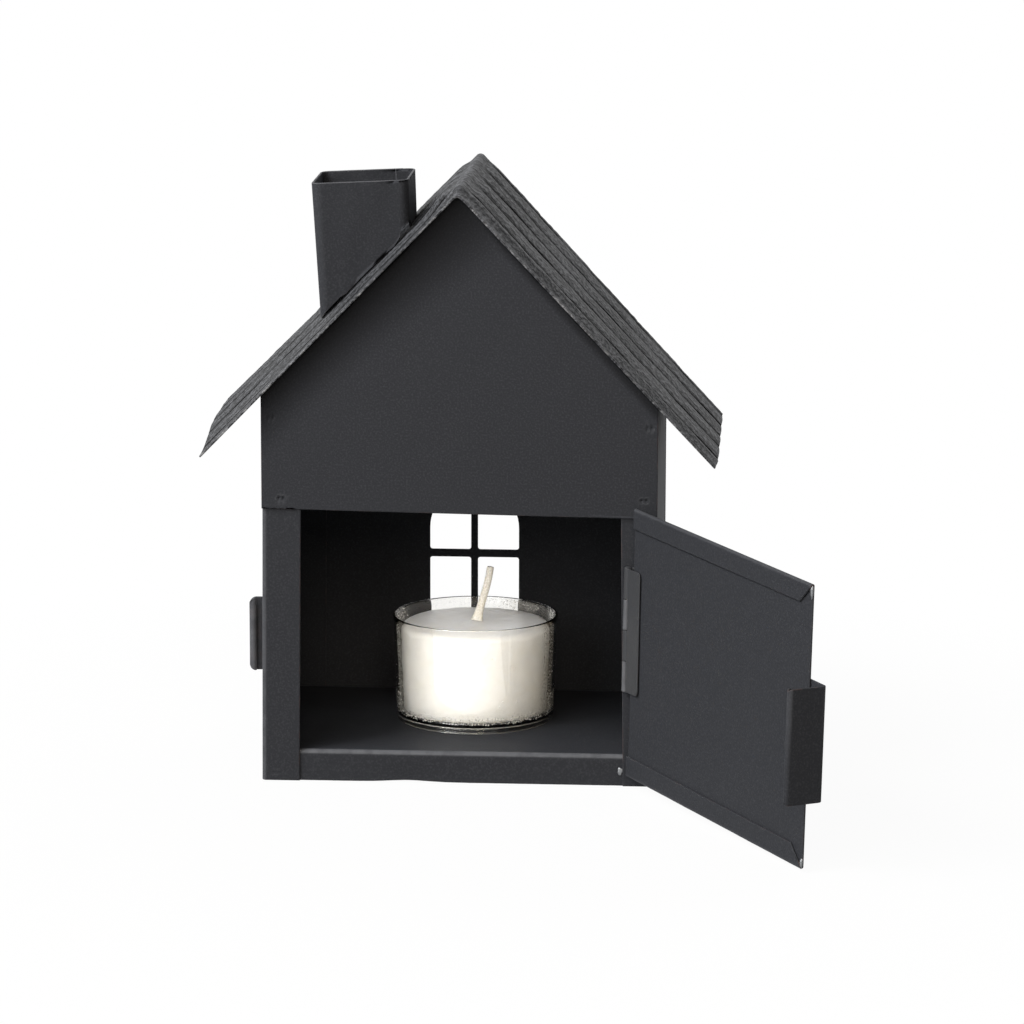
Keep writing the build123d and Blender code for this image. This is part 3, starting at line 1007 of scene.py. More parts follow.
    def floor(self) -> None:
        """Folds the floor pan: lips down at the front and back, with a wave in the front lip's foot.

        The section is drawn in the plane of y and z and carried across the house.
        """
        size = self.outline
        low, high = box_of("floor_pan")
        radius = size.bend - size.sheet / 2
        front, back = low[1] + size.sheet / 2, high[1] - size.sheet / 2
        top = high[2] - size.sheet / 2
        pen = Strip((front, 0.0), 90.0, step=1.2)
        pen.run(top - radius).turn(radius, -90)
        pen.step = 1.6
        section = pen.run(back - front - 2 * radius).turn(radius, -90).run(top - radius).points()
        x = spread((low[0], high[0]), 1.0)
        y, z = over_grid(section, (len(section), len(x)))
        x = np.broadcast_to(x, y.shape)
        lip = (y < front + size.bend) * smooth(0.0, 1.0, 1 - z / top)
        wave = hump(self.lip_wave_x, self.lip_wave_width, x) * lip
        sag = self.wave * swell(x, y, 23, 55.0) * held(8, y - front, back - y)
        z = z + self.lip_wave[0] * wave - np.abs(sag)
        y = y + self.lip_wave[1] * wave + self.lip_ripple * swell(x, z * 3, 29, 9.0) * lip
        shape = sheet(np.stack([x, y, z], axis=2)[::-1], size.sheet)
        shape.place("floor_sheet", self.finishes.sheet, Body.HOUSE, "painted_sheet", "floor_pan")
        chip_x, chip_z = self.chip_place
        chip = bead(np.array([chip_x, low[1] - 0.02, chip_z]), self.chip_size, 31)
        chip.place("lip_chip", self.finishes.bare, Body.HOUSE, "tin_tab")

    def build(self) -> None:
        """Builds the body and paints the back wall, which is the frame's own."""
        for side in Side:
            self.side_wall(side)
        self.gable()
        self.floor()
        paint_node("back_wall", self.finishes.sheet)


@dataclass
class Roof:
    """Roof of one thin sheet pressed into rows of tiles, bent at the ridge, with a vent under the chimney.

    Heights are those of the sheet's middle above a slope's underside. A pair holds the values on the left and
    on the right slope, unless it says otherwise.
    """

    outline: Outline
    finishes: Finishes
    thickness: float = 0.42  # thickness of the pressed sheet
    seat: float = 0.34  # height at the front and back edges
    # How much higher the right slope's front edge lies near the ridge, and further at the eave.
    right_seat: tuple[float, float] = (0.18, 0.8)
    height: tuple[float, float] = (2.2, 2.0)  # height of the tiles
    bump: tuple[float, float] = (0.25, 0.6)  # depth of the grooves between them
    eave_flat: float = 0.5  # how far the grooves flatten towards the eave, as a share
    pillow: float = 0.85  # power that shapes the rounding of a tile
    row_depth: float = 0.12  # how much lower a tile's head lies than its foot, as a share
    hollow: float = 1.5  # width of the painted shade in a groove
    groove_shade_depth: float = 0.75  # how dark that painted shade is
    step: float = 0.06  # how far a tile climbs from its head to its foot
    margin: float = 0.3  # flat margin along the front and back edges
    front_rise: float = 6.0  # width over which the sheet rises from the front margin
    # The same on the left slope, and the distance from the ridge over which it becomes as wide.
    left_rise: tuple[float, float] = (42.0, 14.0)
    back_rise: float = 2.5  # the same at the back
    # Where the grooves are across the roof, from its front.
    groove_shares: tuple[float, ...] = (-0.07, 0.13, 0.34, 0.54, 0.73, 0.93, 1.13)
    row_shares: tuple[float, ...] = (0.23, 0.44, 0.64, 0.82, 1.0)  # where the rows end, from the ridge
    head: float = 2.2  # length over which a tile's head rises
    head_curve: float = 2.2  # how far the corners of the head lie below its middle
    tail: float = 0.8  # length over which a tile drops at its foot
    speckle: float = 0.035  # height of the roughness of the pressed surface
    meander: float = 0.5  # how far the grooves wander from side to side
    ridge_lift: float = 1.45  # height of the smooth ridge
    ridge_radius: float = 1.0  # radius of the bend at the ridge
    ridge_skew: float = 0.3  # how far the ridge stands askew at its two ends
    # Distances from the ridge between which the smooth stretch turns into tiles.
    ridge_flat: tuple[float, float] = (2.5, 5.5)
    ridge_reach: float = 8.0  # distance over which a slope makes up for its lift
    vent_radius: float = 5.0  # radius of the vent
    vent_reach: float = 9.5  # distance from its middle within which the grid is drawn round
    left_twist: float = 0.5  # how far the back of the left eave is bent up
    # How much longer the left slope is at its front corner, and over what depth.
    tip_reach: tuple[float, float] = (-0.1, 8.0)
    crest_highlight: float = 0.35  # how strong the painted highlight along the top of the right slope's front edge is
    crest_line: tuple[float, float] = (1.2, 1.6)  # how far behind that edge, and how wide, the painted highlight line is
    fold_rub_and_highlight: float = 0.4  # how far the other folds are worn by handling and painted lighter as a highlight, as a share

    @property
    def slope_length(self) -> float:
        """Length of a slope along its underside, from the apex line to the eave."""
        return float((self.outline.apex - box_of("roof")[0][2]) / math.sin(self.outline.pitch(1)))

    @property
    def front(self) -> float:
        """Front edge of the roof."""
        return float(box_of("roof")[0][1])

    @property
    def depth(self) -> float:
        """Depth of the roof from its front edge to its back edge."""
        return float(np.subtract(*box_of("roof")[::-1])[1])

    def columns(self, along: Array, y: Array) -> tuple[Array, Array]:
        """Finds where a point lies in its column of tiles, whose grooves wander a little.

        Args:
            along: distance from the ridge.
            y: place across the roof.

        Returns:
            The place in the column, from -1 at its front groove to 1 at its back one, and the column's width.
        """
        share = (y + self.meander * swell(along, y, 47, 26.0, 3) - self.front) / self.depth
        grooves = np.array(self.groove_shares)
        column = np.clip(np.searchsorted(grooves, share, side="right") - 1, 0, len(grooves) - 2)
        width = grooves[column + 1] - grooves[column]
        return 2 * (share - grooves[column]) / width - 1, width * self.depth

    def painted_groove_shade(self, signed: Array, y: Array) -> Array:
        """Gives the share of painted shade in the grooves: a bell curve of the distance to a groove."""
        along = np.abs(signed)
        tile, width = self.columns(along, y)
        uneven = 0.75 + 0.35 * swell(along, y, 53, 31.0, 3)
        depth = self.groove_shade_depth * uneven * hump(0.0, self.hollow, (1 - np.abs(tile)) * width / 2)
        return np.clip(depth * smooth(1.0, 5.0, along), 0, 1)

    def lift(self, signed: Array, y: Array) -> Array:
        """Gives the height of the pressed sheet's middle above the slope's underside.

        Across a tile it is (1 - t^2) to the power of the pillow, for t from -1 to 1 between two grooves. Down
        the slope each row rises from a rounded head, climbs slowly, and drops at its foot. Near the ridge it
        is level, and towards the front and back edges it sinks to the seat.

        Args:
            signed: distance from the ridge along a slope, negative on the left.
            y: place across the roof.

        Returns:
            Heights, the same shape as the places.
        """
        along, left = np.abs(signed), signed < 0
        down, share = along / self.slope_length, (y - self.front) / self.depth
        tile, _ = self.columns(along, y)
        ends = np.array((0.0, *self.row_shares)) * self.slope_length
        row = np.clip(np.searchsorted(ends, along, side="right") - 1, 0, len(ends) - 2)
        start, end = ends[row], ends[row + 1]
        rise = smooth(0.0, self.head, along - start - self.head_curve * tile**2)
        fall = np.where(row == len(ends) - 2, 1.0, 1 - smooth(-self.tail, 0.0, along - end))
        climb = self.step * np.clip((along - start) / (end - start), 0, 1) * fall
        rough = self.speckle * (swell(along, y, 41, 2.3, 3) + swell(along, y, 43, 1.3, 2))
        flat = self.eave_flat * down**2
        pillow = np.clip(1 - tile**2, 0, 1) ** self.pillow
        tiles = flat + (1 - flat) * pillow * (1 - self.row_depth + self.row_depth * rise * fall)
        height, bump = (np.where(left, *pair) for pair in (self.height, self.bump))
        level = 1 - smooth(*self.ridge_flat, along)
        body = (height - bump * (1 - tiles) + climb + rough) * (1 - level) + self.ridge_lift * level
        wide, reach = self.left_rise
        front_rise = self.front_rise + (wide - self.front_rise) * smooth(0.0, reach, along) * left
        inside = smooth(self.margin, self.margin + front_rise, y - self.front)
        inside *= smooth(self.margin, self.margin + self.back_rise, self.front + self.depth - y)
        twist = self.left_twist * left * down**2 * smooth(0.0, 1.0, share)
        near, more = self.right_seat
        higher = (near * smooth(0.0, 3.0, along) + more * down) * (1 - smooth(0.0, 0.5, share))
        return (self.seat + higher * (signed > 0)) * (1 - inside) + body * inside + twist

    def surface(self, signed: Array, y: Array) -> tuple[Array, Array]:
        """Places points of the bent sheet: two straight slopes whose corner is rounded by one arc.

        A slope, moved out by its lift, meets the other one above the ridge. A point lies at its distance from
        there, which past the ridge also makes up for the lift. Nearer than the radius times the tangent of
        the pitch it lies on the arc instead, at an angle in proportion.

        Args:
            signed: distance from the ridge along a slope, negative on the left.
            y: place across the roof.

        Returns:
            The points' x and z.
        """
        lift, pitch = self.lift(signed, y), self.outline.pitch(signed)
        side, along = np.sign(signed), np.abs(signed)
        mean = math.radians(self.outline.roof_pitch)
        reach = self.ridge_radius * math.tan(mean)
        past = along + lift * np.tan(pitch) * smooth(reach, reach + self.ridge_reach, along)
        longer, deep = self.tip_reach
        far = np.clip(along / self.slope_length, 0, 1) ** 6
        past += longer * (side < 0) * far * (1 - smooth(0.0, deep, y - self.front))
        angle = mean * np.clip(along / reach, 0, 1) * side
        centre = self.outline.apex + (lift - self.ridge_radius) / math.cos(mean)
        on_arc = along < reach
        x = np.where(on_arc, self.ridge_radius * np.sin(angle), side * past * np.cos(pitch))
        straight = self.outline.apex + lift / np.cos(pitch) - past * np.sin(pitch)
        x = x + self.ridge_skew * (2 * (y - self.front) / self.depth - 1) * (1 - along / self.slope_length)
        return x, np.where(on_arc, centre + self.ridge_radius * np.cos(angle), straight)

    def down_lines(self) -> Array:
        """Gives the grid lines across the slopes, close together at the ridge and at the rows' heads."""
        ends = np.array(self.row_shares[:-1]) * self.slope_length
        lines = refined(spread((0.0, self.slope_length), 1.3), ends + self.head / 2, 2.4, 0.35)
        half = self.ridge_flat[1] / 2
        return refined(lines, [half], half, 0.4)

    def across_lines(self) -> Array:
        """Gives the grid lines down the slopes, close together at the grooves and at the two edges."""
        back = self.front + self.depth
        grooves = [self.front + self.depth * share for share in self.groove_shares if 0 < share < 1]
        y = refined(spread((self.front, back), 0.9), grooves, 1.8, 0.3)
        return refined(y, [self.front + 1.6, back - 1.6], 1.3, 0.3)

    def build(self) -> None:
        """Presses the roof sheet and cuts its vent.

        Round the vent the square grid is drawn towards circles: a point at the greater of |a| and |b| from
        the vent's middle moves towards the circle of that radius, fully at the vent's rim and not at all at
        the reach. The cells inside the rim are left out.
        """
        slope, y = self.down_lines(), self.across_lines()
        vent_x, vent_y = Chimney(self, self.finishes).middle
        flatten = math.cos(self.outline.pitch(-1))
        rim = np.array([-1, 1]) * self.vent_radius
        signed = np.unique(np.concatenate([-slope[::-1], slope[1:], (vent_x + rim) / flatten]))
        y = np.unique(np.concatenate([y, vent_y + rim]))
        a, b = np.meshgrid(signed * flatten - vent_x, y - vent_y, indexing="ij")
        square = np.maximum(np.abs(a), np.abs(b))
        pull = 1 - smooth(self.vent_radius, self.vent_reach, square)
        scale = 1 + pull * (square / np.maximum(np.hypot(a, b), 1e-6) - 1)
        down, across = (vent_x + a * scale) / flatten, vent_y + b * scale
        x, z = self.surface(down, across)
        cell = (square[:-1, :-1] + square[1:, 1:] + square[:-1, 1:] + square[1:, :-1]) / 4
        points, kept = np.stack([x, across, z], axis=2), cell > self.vent_radius
        # The grooves get painted shade through the shade shares.
        shape = sheet(points, self.thickness, kept=kept, pits=self.painted_groove_shade(down, across))
        x, y = shape.points[:, 0], shape.points[:, 1]
        # A painted highlight line behind the right slope's front edge, fading towards the eave.
        behind, width = self.crest_line
        crest_highlight_share = self.crest_highlight * (1 - np.abs(x) / np.abs(x).max()) * hump(self.front + behind, width, y)
        shape.marks["fold"] = np.maximum(self.fold_rub_and_highlight * shape.marks["fold"], crest_highlight_share * (x > 0))
        shape.place("roof_sheet", self.finishes.roof, Body.HOUSE, "painted_roof", "roof")


@dataclass
class Chimney:
    """Chimney: a strip folded into a tube, lapped inside its rear face, standing on the tiles."""

    roof: Roof
    finishes: Finishes
    centre_x: float = -23.95  # x of the middle of the rim
    width: float = 21.85  # width at the rim
    depth: float = 22.6  # depth at the rim
    corner: float = 2.1  # outer radius of its corners
    lean: float = 2.7  # how far it leans, in degrees
    flare: float = 0.8  # how far each face leans outwards towards the rim, in degrees
    lap: tuple[float, float] = (6.2, 7.9)  # where the inner and the outer end of the lap are, from the middle
    wave: float = 0.12  # how far its front and rear faces are out of flat
    # Middle, half width and height of the gaps under its front edge, from the middle.
    slits: tuple[tuple[float, float, float], ...] = ((-7.6, 3.4, 0.6), (0.4, 8.5, 0.25), (9.8, 1.6, 1.6))
    fold_rub_and_highlight: float = 0.25  # how far its folds are worn by handling and painted lighter as a highlight, as a share
    edge_highlight: float = 0.7  # how strong the painted highlight along its cut edges is
    edge_wear: float = 0.2  # how far they are worn to rust, as a share

    @property
    def middle(self) -> tuple[float, float]:
        """x and y of the middle of the rim."""
        low, high = box_of("chimney")
        return self.centre_x, float((low[1] + high[1]) / 2)

    def section(self) -> Array:
        """Draws the tube's section in the plane of its rim, from the inner to the outer end of the lap."""
        thick = self.roof.outline.sheet
        half, deep = (self.width - thick) / 2, (self.depth - thick) / 2
        radius, inset = self.corner - thick / 2, thick * 1.1
        pen = Strip((self.lap[0], deep - inset), 0.0, step=1.6)
        pen.run(half - radius - self.lap[0]).turn(radius, -90).run(2 * deep - inset - 2 * radius)
        pen.turn(radius, -90).run(2 * half - 2 * radius).turn(radius, -90).run(2 * deep - 2 * radius)
        return pen.turn(radius, -90).run(half + self.lap[1] - radius).points()

    def build(self) -> None:
        """Folds the tube.

        Each point of its section runs down the lean, drawn in by the flare, until it meets the tiles, found
        by rounds of dividing the height that is left by the slope at which it falls.
        """
        size, section = self.roof.outline, self.section()
        lean, flare = math.radians(self.lean), math.tan(math.radians(self.flare))
        plane = np.array([[math.cos(lean), 0.0, math.sin(lean)], [0.0, 1.0, 0.0]])
        down = np.array([math.sin(lean), 0.0, -math.cos(lean)])
        top = box_of("chimney")[1][2] - self.width / 2 * math.sin(lean)
        half = np.array([self.width, self.depth]) / 2
        rim = np.array([*self.middle, top]) + section @ plane
        way = down - (section / half * flare) @ plane
        pitch = size.pitch(-1)
        normal = np.array([-math.sin(pitch), 0.0, math.cos(pitch)])
        down_slope = np.array([-math.cos(pitch), 0.0, -math.sin(pitch)])
        apex = np.array([0.0, 0.0, size.apex])
        gap = np.zeros(len(section))
        front = section[:, 1] < 2 * self.corner - self.depth / 2
        for centre, reach, height in self.slits:
            gap += height * front * (1 - smooth(0.4, 1.0, np.abs(section[:, 0] - centre) / reach))
        fall = np.full(len(section), 10.0)
        for _ in range(5):
            foot = rim + way * fall[:, None]
            tiles = self.roof.lift(-(foot - apex) @ down_slope, foot[:, 1]) + self.roof.thickness / 2
            fall = fall + ((foot - apex) @ normal - tiles - gap) / -(way @ normal)
        share = spread((0.0, 1.0), 0.06, 0.01)
        points = rim[:, None] + way[:, None] * (fall[:, None] * share)[..., None]
        bulge = self.wave * swell(points[..., 0] + points[..., 1], points[..., 2], 61, 24.0)
        points[..., 1] += bulge * (np.abs(section[:, 1]) > half[1] - size.bend)[:, None]
        shape = sheet(points, size.sheet)
        # Folds are worn and painted lighter as a highlight, and the cut edges get a painted highlight line
        # along the rim.
        fold, edge = shape.marks["fold"], shape.marks["edge"]
        rub_and_highlight = np.maximum(self.fold_rub_and_highlight * fold, self.edge_highlight * edge)
        shape.marks = {"fold": rub_and_highlight, "edge": self.edge_wear * edge}
        shape.place("chimney_tube", self.finishes.sheet, Body.HOUSE, "painted_sheet", "chimney")


def strip_piece(
    section: Array, cut: Array, height: float, place: Callable[[Array, Array, Array], Array], thickness: float
) -> Shape:
    """Bends a short strip from its section.

    Args:
        section: points of its section, as pairs.
        cut: how far the strip's two ends are drawn in at each point of the section.
        height: height of the strip.
        place: turns the section's two coordinates and the height into places.
        thickness: thickness of the sheet.

    Returns:
        The closed shape.
    """
    heights = cut[:, None] + np.outer(height - 2 * cut, spread((0.0, 1.0), 0.05, 0.012))
    return sheet(place(*over_grid(section, heights.shape), heights), thickness)


def rounded_cut(radius: float, reach: Array) -> Array:
    """Rounds a corner: it is cut by r - sqrt(r^2 - (r - d)^2) at the distance d from its side, up to r."""
    left = np.clip(radius - reach, 0, radius)
    return radius - np.sqrt(radius**2 - left**2)


@dataclass
class Catch:
    """Catch on the left wall: a short strip, folded out from the wall and rolled forwards at its end."""

    outline: Outline
    finishes: Finishes
    foot: float = 4.0  # length of the foot along the wall
    bend: float = 0.8  # radius of the fold
    curl_diameter: float = 1.7  # outer diameter of the curl
    curl_turn: float = 250.0  # angle that the curl turns through, in degrees
    corner: float = 1.3  # radius of the curl's rounded ends
    rise: float = 0.45  # how much taller the strip is than the frame's
    wear: float = 0.4  # how far the rolled part is worn to rust
    roll_rub_and_highlight: float = 0.25  # how far it is worn by handling and painted lighter as a highlight

    def build(self) -> None:
        """Bends the strip: along the wall, out from it, and round in a curl whose ends are rounded off."""
        low, high = box_of("clip_catch")
        thick = self.outline.sheet
        curl = (self.curl_diameter - thick) / 2
        wall_x, front_y = high[0] - thick / 2, low[1] + thick / 2 + 2 * curl
        pen = Strip((wall_x, front_y + self.foot), -90.0, step=0.8)
        pen.run(self.foot - self.bend).turn(self.bend, -90)
        points = pen.run(wall_x - self.bend - (low[0] + thick / 2 + curl)).turn(curl, self.curl_turn).points()
        cut = rounded_cut(self.corner, points[:, 0] - points[:, 0].min())

        def place(x: Array, y: Array, heights: Array) -> Array:
            """Puts the section in plan and the heights upright."""
            return np.stack([x, y, low[2] + heights], axis=2)

        shape = strip_piece(points, cut, high[2] - low[2] + self.rise, place, thick)
        rolled = shape.points[:, 0] < wall_x - self.bend
        for mark, least in (("edge", self.wear), ("fold", self.roll_rub_and_highlight)):
            shape.marks[mark] = np.maximum(shape.marks[mark], least * rolled)
        shape.place("catch_strip", self.finishes.sheet, Body.HOUSE, "painted_sheet", "clip_catch")


@dataclass(frozen=True)
class DoorFrame:
    """Place of the open door, read from its joint.

    A point of the door is its hinge pivot plus u along the door away from the hinge, v up and w towards the
    door's inner face. The axes are those of the closed door, turned about the hinge line by the open angle.
    """

    @property
    def joint(self) -> dict:
        """The frame's record of the door's joint."""
        return next(joint for joint in frame["joints"] if joint["name"] == "door_hinge")

    @property
    def pivot(self) -> Array:
        """Middle of the hinge."""
        return np.array(self.joint["pos_m"]) / MM

    @property
    def axis(self) -> Array:
        """Direction of the hinge line, upwards."""
        return unit(np.array(self.joint["axis"]))

    @property
    def axes(self) -> tuple[Array, Array, Array]:
        """The door's three directions: along, up and inwards."""
        open_angle = math.radians(-self.joint["range_deg"][0])
        turn = np.array(Matrix.Rotation(open_angle, 3, Vector(self.axis)))
        along, inward = turn @ np.array([-1.0, 0.0, 0.0]), turn @ np.array([0.0, 1.0, 0.0])
        return along, np.cross(inward, along), inward

    def place(self, u: Array, v: Array, w: Array) -> Array:
        """Turns the door's own coordinates into places."""
        return self.pivot + sum(part[..., None] * axis for part, axis in zip((u, v, w), self.axes))


@dataclass
class Door:
    """Door: a sheet with a hem folded in at its top and bottom, and a sprung clip at its free edge."""

    outline: Outline
    finishes: Finishes
    frame: DoorFrame = field(default_factory=DoorFrame)
    thickness: float = 0.46  # thickness of the door's sheet
    edge: float = 2.3  # distance of the door's edge from the hinge line
    width: float = 76.1  # width of the door
    sag: float = 0.6  # how far its free edge hangs down
    height: float = 61.0  # height of the door
    bottom: float = 3.2  # height of its lower edge above the table
    hem: float = 4.6  # width of the hems
    mitre: float = 4.4  # length over which a hem narrows to the free edge
    gap: float = 0.05  # distance between the hem and the door
    lap_w: float = -0.1  # where the faces of the hem and the door meet
    wave: float = 0.12  # how far the panel is out of flat
    ripple: float = 0.05  # how far the hems are out of flat
    burnish_and_highlight: float = 0.3  # how far the folds are worn by handling and painted lighter as a highlight
    edge_wear: float = 0.25  # how far the cut edges are worn to rust, as a share
    corner_wear: float = 1.5  # how much more they are at the free corners
    clip_bottom: float = 15.8  # height of the clip above the door's lower edge
    clip_height: float = 24.9  # height of the clip
    clip_lap: float = 8.0  # how far the clip laps the door's outer face
    clip_overhang: float = 5.7  # how far the clip stands out past the free edge
    clip_leg: float = 9.0  # depth of the clip, from its outer face to the end of its curl
    clip_bend: float = 0.8  # radius of the clip's fold
    clip_corner: float = 0.5  # radius of the curl's rounded ends
    curl_diameter: float = 1.7  # outer diameter of the curl
    curl_turn: float = 250.0  # angle that the curl turns through, in degrees
    # Name of each burr of bare tin, the edge that it is measured from, how far from it, and its half height.
    burrs: tuple[tuple[str, int, float, float], ...] = (
        ("upper_burr", 1, -1.7, 1.2),
        ("lower_burr", 0, 1.2, 0.9),
    )
    burr_size: tuple[float, float] = (0.32, 0.38)  # half width and half depth of the burrs

    @property
    def foot(self) -> float:
        """Height of the door's lower edge, from the hinge pivot."""
        return self.bottom - float(self.frame.pivot[2])

    @property
    def free_edge(self) -> float:
        """Distance of the door's free edge from the hinge line."""
        return self.edge + self.width

    def hung(self, u: Array, v: Array, w: Array) -> Array:
        """Places points of the door, which sags in proportion to their distance from the hinge."""
        return self.frame.place(u, self.foot + v - self.sag * u / self.free_edge, w)

    def panel(self) -> None:
        """Folds the door panel.

        Its section runs up the lower hem from its edge, round the lower fold, up the panel, and round the
        upper fold. Where a hem is mitred, its points are drawn towards the fold, in proportion.
        """
        fold = (self.thickness + self.gap) / 2
        reach = fold + self.thickness / 2
        pen = Strip((self.hem, 0.0), 180.0, turn_step=15.0)
        for length, step in ((self.hem, 0.9), (self.height - reach, 1.5)):
            pen.step = step
            pen.run(length - reach).turn(fold, -180)
        pen.step = 0.9
        section = pen.run(self.hem - reach).points()
        u = spread((self.edge, self.free_edge - self.mitre, self.free_edge), 1.1)
        narrow = np.clip((self.free_edge - u) / self.mitre, 0.03, 1)
        v, w = over_grid(section, (len(section), len(u)))
        u = np.broadcast_to(u, v.shape)
        hems, upper = w < fold, v >= self.height / 2
        away = np.where(upper, self.height - v, v)
        away = np.where(hems & (away > reach), reach + (away - reach) * narrow, away)
        v = np.where(upper, self.height - away, away)
        bow = self.wave * swell(u, v, 71, 80.0) * held(6, u - self.edge, self.free_edge - u)
        bow *= held(8, v, self.height - v)
        ripple = self.ripple * swell(u, v * 4, 73, 14.0) * hems
        shape = sheet(self.hung(u, v, self.lap_w + fold - w + bow + ripple), self.thickness)
        shape.marks["fold"] *= self.burnish_and_highlight
        z = shape.points[:, 2]
        past = (shape.points - self.frame.pivot) @ self.frame.axes[0] - self.free_edge
        outer = np.abs(z - z.mean()) / (self.height / 2)
        at_corner = smooth(0.85, 0.97, outer) * smooth(-self.mitre, 0.0, past)
        shape.marks["edge"] *= self.edge_wear + self.corner_wear * at_corner
        shape.place("door_sheet", self.finishes.sheet, Body.DOOR, "painted_sheet", "door_panel")

    def clip(self) -> None:
        """Bends the clip: flat on the door's outer face, in past its free edge, and round in a curl."""
        thick = self.outline.sheet
        curl = (self.curl_diameter - thick) / 2
        outer = self.lap_w - thick
        strip_w = outer - thick / 2
        leg_u = self.free_edge + self.clip_overhang - thick / 2
        leg_end = outer - thick + self.clip_leg - self.curl_diameter / 2
        pen = Strip((self.free_edge - self.clip_lap, strip_w), 0.0, step=0.8)
        pen.run(leg_u - self.clip_bend - self.free_edge + self.clip_lap).turn(self.clip_bend, 90)
        points = pen.run(leg_end - strip_w - self.clip_bend).turn(curl, self.curl_turn).points()
        cut = rounded_cut(self.clip_corner, points[:, 1].max() - points[:, 1])

        def place(u: Array, w: Array, heights: Array) -> Array:
            """Puts the section across the door and the heights up it."""
            return self.hung(u, self.clip_bottom + heights, w)

        shape = strip_piece(points, cut, self.clip_height, place, thick)
        z = shape.points[:, 2]
        # The curl's painted highlight is strongest at the top of the clip and fades towards its foot.
        shape.marks["fold"] *= self.burnish_and_highlight * smooth(0.2, 1.0, (z - z.min()) / np.ptp(z))
        shape.place("clip_strip", self.finishes.sheet, Body.DOOR, "painted_sheet", "door_clip")

    def build(self) -> None:
        """Builds the door, its clip and the burrs of bare tin at its free corners."""
        self.panel()
        self.clip()
        for name, at_top, away, half in self.burrs:
            place = (self.free_edge - 0.1, at_top * self.height + away, self.lap_w + 0.15)
            burr = bead(self.hung(*(np.array(value) for value in place)), (*self.burr_size, half), 37)
            burr.place(name, self.finishes.bare, Body.DOOR, "tin_tab")


